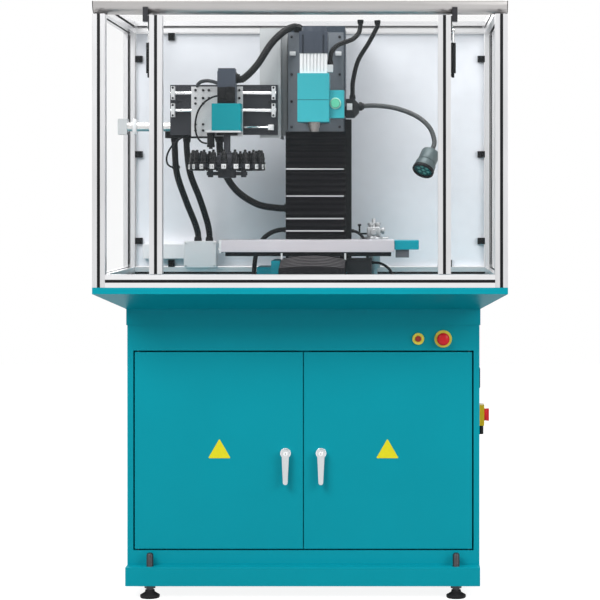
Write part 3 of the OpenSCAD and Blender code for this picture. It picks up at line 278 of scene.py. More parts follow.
conduit_d, conduit_rib = 0.024, 0.006
tray_conduit_d = 0.022
hose_d, hose_rib = 0.016, 0.005
for held_node, points, diameter, rib in (
    ("tray_conduit_a", (
        (-440, 90, 1477.7), (-440, 90, 1440), (-436, 116, 1360), (-414, 190, 1270),
        (-392, 262, 1196), (-384, 296, 1156), (-384, 296, 1131.3)), tray_conduit_d, conduit_rib),
    ("tray_conduit_b", (
        (-400, 90, 1477.7), (-400, 90, 1440), (-392, 122, 1360), (-368, 200, 1276),
        (-350, 266, 1200), (-345, 300, 1156), (-345, 300, 1131.3)), tray_conduit_d, conduit_rib),
    ("carousel_conduit", (
        (-290, 92, 1477.7), (-290, 92, 1440), (-278, 106, 1370), (-238, 134, 1304),
        (-170, 160, 1258), (-100, 170, 1245), (-66.3, 170, 1245)), conduit_d, conduit_rib),
    ("roof_conduit", (
        (236, 60, 1867.7), (236, 60, 1850), (208, 68, 1796), (172, 73, 1736),
        (155, 74, 1670), (153, 74, 1630), (153, 74, 1607.3)), hose_d, hose_rib),
):
    held_tube, _ = conduit(held_node, points, diameter, rib)
    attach(held_tube, "root")
head_hose, hose_route = conduit("head_hose", (
    (83, -51, 1713), (83, -51, 1728), (88, -46, 1756), (106, -29, 1778), (131, -5, 1791),
    (157, 18, 1804), (175, 35, 1826), (180, 40, 1853), (180, 40, 1867.7)), hose_d, hose_rib)
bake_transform(head_hose)
motor_conduit, _ = conduit("motor_conduit", (
    (-223.2, -56, 1668), (-200, -56, 1668), (-156, -50, 1712), (-112, -30, 1782),
    (-72, 4, 1826), (-42, 54, 1846), (-30, 100, 1846), (-30, 129.7, 1846)), conduit_d, conduit_rib)
# The bend is shared out so that the conduit clears the head when the carriage stands at its right limit.
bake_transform(motor_conduit)

# Thin leads: a grey sleeve and a sensor lead on the tool changer's motor, a lead that is tied to the
# left conduit, and three that drop from the column and the switch housing to the tray.
lead_grey = finish("lead_grey", (0.05, 0.055, 0.06), 0.45, grain=240, shine=0.2)


def lead(name, points, diameter, body, look):
    """A smooth lead through given points, from one fitting to another."""
    route, length = even_route(smooth_route(points), 0.003)
    tube = tube_mesh(name, route, [diameter / 2] * len(route), 12)
    as_cord(tube, look)
    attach(tube, body)


lead("drive_lead", [(-282.3, -56, 1652), (-300, -55, 1658), (-320, -49, 1661), (-338, -38, 1659),
                    (-350, -25, 1652), (-355, -13, 1644.2)], 0.012, "carriage", lead_grey)
lead("sensor_lead", [(-282.3, -66, 1611), (-301, -67, 1606), (-326, -66, 1590), (-345, -59, 1566),
                     (-355, -51, 1538), (-358, -46, 1508), (-352, -46, 1480), (-338, -51, 1462),
                     (-319.3, -56, 1456)], 0.006, "carriage", conduit_black)
lead("tied_lead", [(-391, 59.7, 1489), (-394, 44, 1487), (-408, 30, 1479), (-430, 25, 1463),
                   (-450, 30, 1440), (-462, 46, 1414), (-463, 70, 1394), (-457, 88, 1385),
                   (-449.5, 100.5, 1381)], 0.006, "root", conduit_black)
lead("column_lead", [(-66.3, 160, 1172), (-95, 160, 1171), (-125, 158, 1161), (-150, 155, 1141),
                     (-167, 152, 1112), (-176, 150, 1076), (-180, 150, 1030), (-180, 150, 976),
                     (-180, 150, 923.3)], 0.016, "root", conduit_black)
lead("duct_lead", [(148.3, 146, 1168), (166, 146, 1164), (184, 146, 1149), (196, 146, 1124),
                   (201, 146, 1088), (202, 146, 1040), (202, 146, 980), (202, 146, 923.3)],
     0.01, "root", conduit_black)
lead("switch_lead", [(218.3, 0, 1066), (240, 0, 1065), (262, 0, 1056), (280, 0, 1038), (290, 0, 1012),
                     (294, 0, 975), (294, 0, 923.3)], 0.009, "root", conduit_black)


# Cabinet, plinth, doors and chip tray: bent and welded sheet steel with a satin teal powder coat.
# The coat has a fine orange-peel grain, and each folded edge is slightly round.
teal_coat = finish("teal_coat", (0.0008, 0.325, 0.405), 0.4, grain=420, spread=0.05, shine=0.12)
smooth_angle = math.radians(35)


def dress(node, look, zones=(), edge=0.0008):
    """Gives a solid its finish, other finishes on named places, and lightly broken edges."""
    solid = nodes[node]
    solid.data.materials.clear()
    solid.data.materials.append(look)
    for number, (other, inside) in enumerate(zones, start=1):
        solid.data.materials.append(other)
        for face in solid.data.polygons:
            if inside(face.center):
                face.material_index = number
    if edge:
        weld = solid.modifiers.new("weld", "WELD")
        weld.merge_threshold = 0.00001
        round_off = solid.modifiers.new("round_off", "BEVEL")
        round_off.width = edge
        round_off.segments = 2
        round_off.limit_method = "ANGLE"
        round_off.angle_limit = smooth_angle
        round_off.harden_normals = True


for sheet_node in ("cabinet_body", "plinth", "left_door", "right_door", "tray"):
    dress(sheet_node, teal_coat, edge=0.001)


# Plates on the doors: two bare yellow triangles with round corners. They are stamped from thin plastic
# sheet and glued on at handle height.
def round_edges(made, width, segments, limit=math.radians(30)):
    """Rounds the edges of the active object that are sharper than a limit."""
    rounding = made.modifiers.new("rounding", "BEVEL")
    rounding.width = width
    rounding.segments = segments
    rounding.angle_limit = limit
    bpy.ops.object.modifier_apply(modifier="rounding")


def pick(pieces):
    """Selects some objects and nothing else, with the first one active."""
    bpy.ops.object.select_all(action="DESELECT")
    for piece in pieces:
        piece.select_set(True)
    bpy.context.view_layer.objects.active = pieces[0]


def joined(name, pieces, look, body="root"):
    """Several pieces of one kind as one object that moves with a body."""
    pick(pieces)
    if len(pieces) > 1:
        bpy.ops.object.join()
    whole = bpy.context.view_layer.objects.active
    whole.name = name
    whole.data.materials.clear()
    whole.data.materials.append(look)
    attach(whole, body)
    return whole


plate_yellow = finish("plate_yellow", (0.86, 0.78, 0.02), 0.35, grain=120, depth=0.02, shine=0.2)
door_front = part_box("left_door")[0].y
plate_z = 0.463
plate_side = 0.072
plate_thick = 0.0008
plate_corner = 0.004
for plate_x, door_body in ((-0.27, "left_door"), (0.27, "right_door")):
    bpy.ops.object.select_all(action="DESELECT")
    bpy.ops.mesh.primitive_circle_add(vertices=3, radius=plate_side / math.sqrt(3), fill_type="NGON")
    triangle = bpy.context.object
    bpy.ops.object.mode_set(mode="EDIT")
    bpy.ops.mesh.select_all(action="SELECT")
    bpy.ops.mesh.extrude_region_move(TRANSFORM_OT_translate={"value": (0, 0, plate_thick)})
    bpy.ops.mesh.select_all(action="SELECT")
    bpy.ops.mesh.normals_make_consistent(inside=False)
    bpy.ops.object.mode_set(mode="OBJECT")
    round_edges(triangle, plate_corner, 4, limit=math.radians(100))
    triangle.data.transform(Matrix.Rotation(math.radians(90), 4, "X"))
    triangle.data.transform(Matrix.Translation((plate_x, door_front - 0.00005, plate_z)))
    joined("bare_plate_" + door_body, [triangle], plate_yellow, door_body)


# Lever latches: die-cast zinc levers with a dull pale coat, in polished rosettes that are screwed to the
# doors. Each lever has a key plug with a dark slot.
def plain_box(name, low, high, edge=0.0008, segments=2):
    """A box between two corners, with rounded edges."""
    low = Vector(low)
    high = Vector(high)
    bpy.ops.object.select_all(action="DESELECT")
    bpy.ops.mesh.primitive_cube_add(size=1, location=(low + high) / 2)
    made = bpy.context.object
    made.name = name
    made.scale = high - low
    bpy.ops.object.transform_apply(location=True, rotation=True, scale=True)
    if edge:
        round_edges(made, edge, segments)
    bpy.ops.object.shade_smooth_by_angle(angle=smooth_angle)
    return made


def turned(name, outline, place, towards, sides=32):
    """A lathe-turned piece from (radius, height) pairs, set at a place and pointing in a direction."""
    lines = [(i, i + 1) for i in range(len(outline) - 1)]
    made = from_points(name, [(r, 0, h) for r, h in outline], lines, [])
    pick([made])
    bpy.ops.object.mode_set(mode="EDIT")
    bpy.ops.mesh.select_all(action="SELECT")
    bpy.ops.mesh.spin(steps=sides, angle=2 * math.pi, center=(0, 0, 0), axis=(0, 0, 1))
    bpy.ops.mesh.select_all(action="SELECT")
    bpy.ops.mesh.remove_doubles(threshold=0.00002)
    bpy.ops.mesh.normals_make_consistent(inside=False)
    bpy.ops.object.mode_set(mode="OBJECT")
    made.data.transform(Vector(towards).to_track_quat("Z", "Y").to_matrix().to_4x4())
    made.data.transform(Matrix.Translation(Vector(place)))
    bpy.ops.object.shade_smooth_by_angle(angle=smooth_angle)
    return made


pale_zinc = finish("pale_zinc", (0.6, 0.62, 0.63), 0.36, metal=0.75, grain=160)
bright_steel = finish("bright_steel", (0.78, 0.79, 0.8), 0.2, metal=1.0, depth=0.03)
key_slot_black = finish("key_slot_black", (0.02, 0.02, 0.02), 0.5, grain=40)
hands = (("left", -1), ("right", 1))
for side_name, side in hands:
    dress(side_name + "_handle", pale_zinc, edge=0.0016)
    dress(side_name + "_latch", bright_steel)
    lever_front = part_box(side_name + "_handle")[0].y + 0.004
    lever_x = side * 0.057
    key_plug = turned("key_plug", ((0, 0.0012), (0.0062, 0.0012), (0.0072, 0.0004), (0.0072, -0.002)),
                      (lever_x, lever_front, 0.459), (0, -1, 0))
    joined(side_name + "_key_plug", [key_plug], bright_steel, side_name + "_handle")
    key_slot = plain_box("key_slot", (lever_x - 0.0007, lever_front - 0.0016, 0.455),
                         (lever_x + 0.0007, lever_front - 0.0009, 0.463), edge=0.0002)
    joined(side_name + "_key_slot", [key_slot], key_slot_black, side_name + "_handle")

# Levelling feet: pads with a rubber face, on threaded steel studs. Each stud is screwed up into the
# plinth and locked by a nut under it.
foot_rubber = finish("foot_rubber", (0.014, 0.014, 0.015), 0.6, grain=260, depth=0.12, shine=0.15)
stud_steel = finish("stud_steel", (0.05, 0.05, 0.055), 0.4, metal=0.8, stretch=(1, 1, 60), grain=12,
                    depth=0.35)
pad_top = 0.0251
dress("levelling_feet", foot_rubber, [(stud_steel, lambda c: c.z > pad_top)], edge=0.0006)

# Cabinet controls: a red mushroom stop and a small red button, each in a glossy yellow ring, and the
# main switch and a louvred vent on the right side. All are moulded plastic.
switch_yellow = finish("switch_yellow", (0.8, 0.5, 0.008), 0.25, grain=90, depth=0.02, shine=0.25)
stop_red = finish("stop_red", (0.75, 0.014, 0.022), 0.25, grain=90, depth=0.02, shine=0.25)
button_red = finish("button_red", (0.36, 0.014, 0.008), 0.25, grain=90, depth=0.02)
vent_black = finish("vent_black", (0.015, 0.015, 0.017), 0.5, grain=240, depth=0.1, shine=0.15)
collar_yellow = finish("collar_yellow", (0.92, 0.76, 0.09), 0.25, grain=90, depth=0.02, shine=0.25)
dress("button_collars", collar_yellow, edge=0.0016)
dress("estop_knob", stop_red, edge=0.0012)
dress("reset_button", button_red, edge=0.001)
gland_top = 0.5319
dress("isolator_box", switch_yellow, [(vent_black, lambda c: c.z < gland_top)], edge=0.0025)
dress("isolator_knob", stop_red, edge=0.0014)
dress("side_vent", vent_black, edge=0.0006)

# Control gear behind the doors: a galvanised plate with four drives, a supply, a transformer and slotted
# ducts, all screwed on, and the doors' pivot pins.
galvanised = finish("galvanised", (0.55, 0.57, 0.58), 0.42, metal=0.8, grain=26, spread=0.14)
drive_grey = finish("drive_grey", (0.07, 0.075, 0.085), 0.5, grain=260, depth=0.1, shine=0.2)
duct_grey = finish("duct_grey", (0.32, 0.33, 0.35), 0.55)
dress("mounting_plate", galvanised)
duct_heights = ((0.429, 0.471), (0.739, 0.781))
supply_left, supply_foot, supply_head = 0.149, 0.499, 0.701
dress("control_gear", drive_grey, [
    (duct_grey, lambda c: any(low < c.z < high for low, high in duct_heights)),
    (galvanised, lambda c: c.x > supply_left and supply_foot < c.z < supply_head),
])
pivot_steel = finish("pivot_steel", (0.02, 0.06, 0.07), 0.45, metal=0.4)
dress("door_pivots", pivot_steel, edge=0)
terminal_green = finish("terminal_green", (0.05, 0.32, 0.1), 0.4, grain=90)
drive_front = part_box("control_gear")[0].y
terminals = []
for drive_number in range(4):
    for way in range(6):
        x = -0.421 + drive_number * 0.095 + way * 0.0076
        terminals.append(plain_box("terminal", (x, drive_front - 0.006, 0.506),
                                   (x + 0.0064, drive_front + 0.0005, 0.517)))
joined("drive_terminals", terminals, terminal_green, "root")

# Enclosure: natural anodised profiles with black strips in their slots, and a rounded beam across the
# top front. The drawing marks of the press run along each bar.
along_x = (0.1, 6, 6)
along_y = (6, 0.1, 6)
along_z = (6, 6, 0.1)


def drawn(name, colour, rough, metal, stretch):
    """A bar of drawn metal, with its marks along one axis."""
    return finish(name, colour, rough, metal=metal, grain=60, stretch=stretch)


anodised_up = drawn("anodised_up", (0.66, 0.66, 0.67), 0.32, 0.8, along_z)
anodised_x = drawn("anodised_x", (0.78, 0.78, 0.79), 0.3, 0.85, along_x)
anodised_y = drawn("anodised_y", (0.74, 0.74, 0.75), 0.3, 0.85, along_y)
beam_grey = drawn("beam_grey", (0.44, 0.425, 0.42), 0.34, 0.8, along_x)
post_grey = drawn("post_grey", (0.64, 0.64, 0.65), 0.34, 0.8, along_z)
strip_black = finish("strip_black", (0.009, 0.009, 0.01), 0.5, shine=0.12)
side_x = 0.6049
dress("frame_posts", post_grey, edge=0.0007)
dress("frame_rails", anodised_x, [(anodised_y, lambda c: abs(c.x) > side_x)], edge=0.0007)
dress("top_beam", beam_grey, edge=0.0007)
dress("profile_trim", strip_black, edge=0.0003)
lip_half, lip_proud, lip_edge = 0.0048, 0.0002, 0.0001
post_x, stile_x = 0.625, 0.448


def upright_lips(x, y, foot, head):
    """Strips over the slots of two upright bars, one on each side."""
    return [plain_box("slot_lip", (place - lip_half, y - lip_proud, foot),
                      (place + lip_half, y + lip_proud, head), edge=lip_edge) for place in (-x, x)]


post_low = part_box("frame_posts")[0]
rail_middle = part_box("frame_rails")[0].z + 0.02
rail_lip = plain_box("slot_lip", (-0.605, post_low.y - lip_proud, rail_middle - lip_half),
                     (0.605, post_low.y + lip_proud, rail_middle + lip_half), edge=lip_edge)
post_lips = upright_lips(post_x, post_low.y, post_low.z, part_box("top_beam")[0].z)
joined("frame_slot_lips", [rail_lip] + post_lips, strip_black)
stile_low, stile_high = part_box("door_stiles")
stile_lips = upright_lips(stile_x, stile_low.y, stile_low.z, stile_high.z)
joined("stile_slot_lips", stile_lips, strip_black, "front_door")
dress("panel_holders", strip_black, edge=0.0006)
stile_strip_y, stile_strip_half = -0.3619, 0.0041


def on_stile_strip(c):
    return c.y < stile_strip_y and abs(abs(c.x) - stile_x) < stile_strip_half


dress("door_stiles", anodised_up, [(strip_black, on_stile_strip)], edge=0.0005)
black_steel = finish("black_steel", (0.03, 0.03, 0.034), 0.38, metal=0.6)
dress("door_brackets", black_steel)
dress("door_fittings", black_steel, edge=0.0006)
for side_name, _ in hands:
    dress(side_name + "_strut_rod", bright_steel, edge=0.0003)
    dress(side_name + "_strut_tube", strip_black, edge=0.0006)


def clear_sheet(name, tint, alpha):
    """Clear plastic sheet: mostly see-through, with a sharp gloss."""
    made, tree, link, shader = new_material(name)
    shader.inputs["Alpha"].default_value = alpha
    shader.inputs["IOR"].default_value = 1.49
    where = add_node(tree, "ShaderNodeTexCoord")
    haze = add_node(tree, "ShaderNodeTexNoise", (("Scale", 2.2), ("Detail", 5)))
    shade = add_node(tree, "ShaderNodeValToRGB")
    shade.color_ramp.elements[0].color = (*[c * 0.9 for c in tint], 1)
    shade.color_ramp.elements[1].color = (*tint, 1)
    gloss = add_node(tree, "ShaderNodeMapRange", (("To Min", 0.03), ("To Max", 0.1)))
    link(where.outputs["Object"], haze.inputs["Vector"])
    link(haze.outputs["Fac"], shade.inputs[0])
    link(shade.outputs[0], shader.inputs["Base Color"])
    link(haze.outputs["Fac"], gloss.inputs["Value"])
    link(gloss.outputs[0], shader.inputs["Roughness"])
    return made


clear_pane = clear_sheet("clear_pane", (0.35, 0.4, 0.42), 0.02)
dress("clear_panels", clear_pane, edge=0)
dress("door_sheet", clear_pane, edge=0)

# Back panel: a pale grey composite sheet with a faint mottle. It stands in the back frame on rubber seals
# and is gripped by black clips.
panel_grey = finish("panel_grey", (0.8, 0.82, 0.86), 0.45, grain=30, depth=0.02, spread=0.04, shine=0.3)
dress("back_panel", panel_grey, edge=0.0006)

# Socket-cap screws: one head is turned with its recess, and copies of it hold the clips, plates and
# covers. Most are zinc-plated or black steel.
zinc = finish("zinc", (0.62, 0.63, 0.62), 0.34, metal=1.0, depth=0.04)
screw_outline = ((0.5, 0), (0.5, 0.42), (0.43, 0.5), (0.29, 0.5), (0.26, 0.18), (0, 0.16))
up, down, forward = (0, 0, 1), (0, 0, -1), (0, -1, 0)
screw_model = turned("screw_model", screw_outline, (0, 0, 0), up, sides=12)


def copy_at(model, place):
    """A copy of a model, moved by a matrix."""
    copy = model.copy()
    copy.data = model.data.copy()
    bpy.context.collection.objects.link(copy)
    copy.data.transform(place)
    return copy


def screws(name, places, towards, diameter, body, look=black_steel, height=1.0):
    """Copies of the screw at places on one plane, facing one way; a low head has a height under 1."""
    turn = Vector(towards).to_track_quat("Z", "Y").to_matrix().to_4x4()
    size = Matrix.Diagonal((diameter, diameter, diameter * height, 1))
    copies = [copy_at(screw_model, Matrix.Translation(Vector(place)) @ turn @ size) for place in places]
    joined(name, copies, look, body)


clip_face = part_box("back_panel")[0].y - 0.012
clip_places = [(side * 0.5925, clip_face, z) for side in (-1, 1) for z in (1.13, 1.43, 1.76)]
clip_places += [(x, clip_face, z) for x in (-0.48, 0, 0.48) for z in (1.0525, 1.8375)]
screws("clip_screws", clip_places, forward, 0.009, "root", strip_black)
for side_name, side in hands:
    leaf_places = [(side * 0.472, y, 1.812) for y in (-0.352, -0.338)]
    screws("leaf_screws_" + side_name, leaf_places, (side, 0, 0), 0.006, "front_door", zinc)

# Mill base, saddle and table: iron castings. The base is painted teal, its ways are ground, and the
# table's top and T-slots are milled bright with fine cutter lines along X.
cast_teal = finish("cast_teal", (0.002, 0.24, 0.3), 0.5, grain=160, depth=0.25, shine=0.15)
ground_steel = finish("ground_steel", (0.6, 0.61, 0.62), 0.26, metal=1.0, grain=40, stretch=(8, 0.2, 8))
cast_grey = finish("cast_grey", (0.13, 0.13, 0.145), 0.5, metal=0.1, grain=160, depth=0.25, shine=0.2)
milled_iron = finish("milled_iron", (0.61, 0.59, 0.63), 0.34, metal=0.75, grain=50, depth=0.06,
                     stretch=(0.15, 8, 8))
way_black = finish("way_black", (0.014, 0.014, 0.016), 0.5, depth=0.06, shine=0.15)
mill_x = 0.03
way_z = 1.0221
way_inner, way_outer = 0.0549, 0.0851
base_top_z, ledge_z = 1.0301, 0.9899
base_right, switch_left = 0.1505, 0.1379


def on_ways(c):
    return way_z < c.z < base_top_z and way_inner < abs(c.x - mill_x) < way_outer


def on_switches(c):
    return c.x > switch_left and c.z > base_top_z or c.x > base_right and c.z > ledge_z


dress("mill_base", cast_teal, [(ground_steel, on_ways), (way_black, on_switches)], edge=0.002)
dress("saddle", cast_grey, edge=0.0015)
table_low_z = 1.1029
dress("table", milled_iron, [(way_black, lambda c: c.z < table_low_z)])
end_x = 0.0
cover_white = finish("cover_white", (0.78, 0.77, 0.78), 0.38, grain=220, depth=0.04)
cover_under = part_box("table")[1].z - 0.0311
dress("table_covers", teal_coat, [
    (cover_white, lambda c: c.x < end_x),
    (cast_grey, lambda c: c.x > end_x and c.z < cover_under),
], edge=0.0012)
plate_back, plate_front = (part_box("saddle")[0].y - gap for gap in (0.0001, 0.0031))
corner_plates = []
for side in (-1, 1):
    for reach, foot, head in ((0.106, 1.077, 1.1), (0.104, 1.06, 1.078)):
        left, right = sorted((mill_x + side * 0.1, mill_x + side * reach))
        corner_plates.append(plain_box("corner_plate", (left, plate_front, foot),
                                       (right, plate_back, head)))
joined("bellows_corner_plates", corner_plates, cover_white, "saddle")
end_places = [(-0.276, y, z) for y in (-0.085, 0.055) for z in (1.112, 1.133)]
screws("end_plate_screws", end_places, (-1, 0, 0), 0.008, "table", zinc)


# Way covers: pleated black cloth on thin frames, which fold up as the slide comes towards them. The
# column's cover has bright stiffeners across some of its folds.
pleat_cloth = finish("pleat_cloth", (0.006, 0.0045, 0.006), 0.45, grain=500, depth=0.2, shine=0.08)


def pleated(name, section, pulls, along, count):
    """A folded cover: a section of points, repeated along an axis, with each second one pulled in."""
    points = []
    start, end = along
    rings = 2 * count + 1
    for i in range(rings):
        place = start + (end - start) * i / (2 * count)
        for (u, v), (pull_u, pull_v) in zip(section, pulls):
            points.append((u + pull_u * (i % 2), v + pull_v * (i % 2), place))
    return from_points(name, points, [], ring_faces(rings, len(section)))


def crease(made, width):
    """Turns the faces of a cover outwards and softens its folds."""
    pick([made])
    bpy.ops.object.mode_set(mode="EDIT")
    bpy.ops.mesh.select_all(action="SELECT")
    bpy.ops.mesh.normals_make_consistent(inside=False)
    bpy.ops.object.mode_set(mode="OBJECT")
    round_edges(made, width, 2)
    bpy.ops.object.shade_smooth_by_angle(angle=math.radians(50))


z_low, z_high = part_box("z_bellows")
z_folds = 24
z_fold = 0.012
z_cover = pleated("column_cover_pleated", (
    (z_low.x, z_low.y), (z_high.x, z_low.y), (z_high.x, z_high.y), (z_low.x, z_high.y)),
    ((0, z_fold), (0, z_fold), (0, 0), (0, 0)), (z_low.z, z_high.z), z_folds)
crease(z_cover, 0.0008)
z_pieces = [joined("column_cover_pleated", [z_cover], pleat_cloth, "root")]
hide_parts("z_bellows")
stiffener_white = finish("stiffener_white", (0.6, 0.6, 0.62), 0.35, metal=0.4, grain=120)
for number, z in enumerate((1.375, 1.285, 1.21, 1.169), start=1):
    bar = plain_box("stiffener", (z_low.x + 0.001, z_low.y - 0.0012, z - 0.0022),
                    (z_high.x - 0.006, z_low.y + 0.003, z + 0.0022), edge=0.0006)
    z_pieces.append(joined(f"column_cover_stiffener_{number}", [bar], stiffener_white, "root"))
for piece in z_pieces:
    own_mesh(piece)

y_low, y_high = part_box("y_bellows")
y_long = y_high.y - y_low.y
y_ridge = y_high.z - 0.012
y_crown = [(mill_x + across, y_high.z - drop) for across, drop in ((0.045, 0.002), (0, 0), (-0.045, 0.002))]
y_fold = 0.009
y_front_share = 0.45
y_folds = 8


def risen(z, share):
    """The height of a point of the front cover, which climbs from the front to the saddle."""
    return y_low.z + (z - y_low.z) * (y_front_share + (1 - y_front_share) * share)


y_cover = pleated("front_cover_pleated", (
    (y_low.x, y_low.z), (y_high.x, y_low.z), (y_high.x, y_ridge), *y_crown, (y_low.x, y_ridge)),
    ((0, 0), (0, 0), (-y_fold, -y_fold), (0, -y_fold), (0, -y_fold), (0, -y_fold), (y_fold, -y_fold)),
    (y_low.y, y_high.y), y_folds)
for vertex in y_cover.data.vertices:
    x, z, y = vertex.co
    vertex.co = (x, y, risen(z, (y - y_low.y) / y_long))
crease(y_cover, 0.0007)
y_cover = joined("front_cover_pleated", [y_cover], pleat_cloth, "root")
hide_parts("y_bellows")
# Painted highlights: thin pale grey tubes along the front cover's fold ridges stand in for the light that
# each fold edge catches.
fold_highlight_grey = finish("fold_highlight_grey", (0.16, 0.15, 0.155), 0.45, grain=240, shine=0.2)
y_ridge_line = [(y_low.x + 0.002, y_ridge), *reversed(y_crown), (y_high.x - 0.002, y_ridge)]
highlight_lines = []
for fold in range(1, y_folds):
    share = fold / y_folds
    line = [Vector((x, y_low.y + y_long * share, risen(z, share))) for x, z in y_ridge_line]
    highlight_lines.append(tube_mesh("ridge_line", line, [0.0011] * len(line), 8))
fold_highlights = joined("front_cover_fold_highlights", highlight_lines, fold_highlight_grey, "root")
for piece in (y_cover, fold_highlights):
    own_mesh(piece)

# Column and head: a grey painted casting with ground rails, and a grey slide plate that carries the
# teal spindle cover, a white finned brake block and the dark motor.
column_grey = finish("column_grey", (0.05, 0.065, 0.085), 0.5, depth=0.2, shine=0.2)
slide_grey = finish("slide_grey", (0.18, 0.2, 0.225), 0.45, grain=120, depth=0.1, shine=0.25)
head_teal = finish("head_teal", (0.045, 0.43, 0.49), 0.38, grain=420, shine=0.2)
fin_white = finish("fin_white", (0.88, 0.89, 0.9), 0.4, grain=160)
motor_grey = finish("motor_grey", (0.06, 0.072, 0.095), 0.48, grain=260, depth=0.12, shine=0.2)
start_green = finish("start_green", (0.12, 0.6, 0.38), 0.22, grain=90, depth=0.02)
rail_y = 0.1299
duct_x = 0.1261
dress("column", column_grey, [
    (ground_steel, lambda c: c.y < rail_y),
    (strip_black, lambda c: c.x > duct_x),
], edge=0.0015)
dress("head_slide", slide_grey, edge=0.001)
seam_low, seam_high = 1.5945, 1.597
cover_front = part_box("head_cover")[0].y
seam_y = cover_front + 0.0012
dress("head_cover", head_teal, [(strip_black, lambda c: seam_low < c.z < seam_high and c.y < seam_y)],
      edge=0.0015)
motor_z = 1.7467
dress("spindle_motor", motor_grey, [(fin_white, lambda c: c.z < motor_z)])
nose_steel = finish("nose_steel", (0.24, 0.23, 0.22), 0.28, metal=1.0, depth=0.03)
dress("spindle", nose_steel, edge=0.0006)
dress("start_button", start_green, edge=0.0012)
side_box_x, side_box_wide = mill_x + 0.051, 0.048
start_x = side_box_x + side_box_wide * 0.42
ring_z = 1.585
start_ring = turned("start_ring", ((0.0146, 0), (0.0182, 0), (0.0186, 0.0018), (0.0176, 0.003),
                                   (0.015, 0.003), (0.0146, 0)),
                    (start_x, cover_front + 0.02, ring_z), forward)
pale_green = finish("pale_green", (0.45, 0.8, 0.66), 0.25, grain=90)
joined("start_button_ring", [start_ring], pale_green, "head")
slide_face = 0.08
connectors = [plain_box("connector", (x, slide_face - 0.012, 1.752), (x + 0.02, slide_face, 1.766),
                        edge=0.0015) for x in (-0.056, 0.096)]
joined("slide_connectors", connectors, fin_white, "head")
slide_places = [(x, slide_face, z) for x in (-0.05, 0.11) for z in (1.515, 1.6, 1.69, 1.815)]
screws("slide_screws", slide_places, forward, 0.009, "head")

# Tool changer frame: a black backing plate on a pale bracket from the column, held on the left by a
# bright tube that is clamped to the side pane, with a black hose block under it.
plate_black = finish("plate_black", (0.045, 0.046, 0.054), 0.42, grain=140, depth=0.1, shine=0.2)
bracket_grey = finish("bracket_grey", (0.55, 0.57, 0.58), 0.42, grain=120)
tube_silver = drawn("tube_silver", (0.75, 0.74, 0.73), 0.28, 0.8, along_x)
plate_low = Vector((0.0239, 1.4869))
plate_high = Vector((0.0341, 1.6521))
plate_right = -0.0929
tube_axis = Vector((0.06, 1.515))
tube_edge, tube_right = 0.0165, -0.247
manifold_right, manifold_front, manifold_top = -0.258, 0.0599, 1.5001


def on_plate(c):
    return plate_low.x < c.y < plate_high.x and plate_low.y < c.z < plate_high.y and c.x < plate_right


def on_tube(c):
    return c.x < tube_right and (Vector((c.y, c.z)) - tube_axis).length < tube_edge


def on_manifold(c):
    return c.x < manifold_right and c.y > manifold_front and c.z < manifold_top and not on_tube(c)


dress("atc_frame", bracket_grey, [
    (plate_black, on_plate), (tube_silver, on_tube), (strip_black, on_manifold)])
chrome = finish("chrome", (0.86, 0.87, 0.88), 0.1, metal=1.0, depth=0.02)
support_white = finish("support_white", (0.78, 0.79, 0.8), 0.3, metal=0.3, grain=160)
rod_left, rod_right = -0.4299, -0.1111
dress("atc_rods", chrome, [(support_white, lambda c: c.x < rod_left or c.x > rod_right)])
support_front = -0.007
support_places = [(x, support_front, z) for x in (-0.436, -0.105) for z in (1.55, 1.584, 1.607, 1.641)]
screws("support_screws", support_places, forward, 0.0075, "root", height=0.2)
plate_places = [(-0.418, 0.024, 1.596), (-0.122, 0.024, 1.5), (-0.122, 0.024, 1.596)]
screws("plate_screws", plate_places, forward, 0.008, "root")
tube_clamps = [plain_box("tube_clamp", (x, 0.036, 1.49), (x + 0.014, 0.084, 1.54), edge=0.004)
               for x in (-0.575, -0.372)]
joined("tube_clamps", tube_clamps, support_white, "root")
bracket_flange = plain_box("bracket_flange", (-0.0895, 0.1235, 1.487), (-0.067, 0.1295, 1.838),
                           edge=0.001)
joined("bracket_flange", [bracket_flange], bracket_grey, "root")

# Tool changer carriage: a pale machined plate on two rods. The teal gear housing is screwed to its front,
# with a square motor and its plugs on top and an index cylinder below.
carriage_grey = finish("carriage_grey", (0.73, 0.74, 0.75), 0.4, metal=0.2, grain=140, depth=0.06)
housing_teal = finish("housing_teal", (0.001, 0.3, 0.35), 0.4, grain=420, shine=0.15)
housing_front_y = -0.0181
housing_top = 1.5851
flange_top = 1.4969
motor_left, motor_right, motor_back = -0.284, -0.222, -0.026
dress("atc_carriage", carriage_grey, [
    (housing_teal, lambda c: c.y < housing_front_y and c.z < housing_top),
    (motor_grey, lambda c: c.z > housing_top and motor_left < c.x < motor_right and c.y < motor_back),
    (strip_black, lambda c: c.y < housing_front_y and c.z < flange_top),
], edge=0.0012)
carriage_front = -0.018
hole_places = [(x, carriage_front, z) for x in (-0.36, -0.335) for z in (1.632, 1.606, 1.588, 1.52, 1.5)]
hole_places += [(x, carriage_front, z) for x in (-0.316, -0.216) for z in (1.632, 1.606)]
screws("carriage_screws", hole_places, forward, 0.0085, "carriage")
motor_front = -0.0855
plugs = []
for left, right, foot, head, proud, edge in (
    (-0.276, -0.256, 1.6, 1.632, 0.012, 0.002), (-0.252, -0.232, 1.592, 1.618, 0.01, 0.002),
    (-0.25, -0.234, 1.625, 1.64, 0.008, 0.002), (-0.2815, -0.2245, 1.588, 1.638, 0.006, 0.0015),
):
    plugs.append(plain_box("plug", (left, motor_front - proud, foot), (right, motor_front, head),
                           edge=edge))
joined("motor_plugs", plugs, strip_black, "carriage")
housing_base = plain_box("housing_base", (-0.319, -0.0945, 1.4905), (-0.206, -0.0185, 1.4969),
                         edge=0.001)
joined("housing_base", [housing_base], carriage_grey, "carriage")
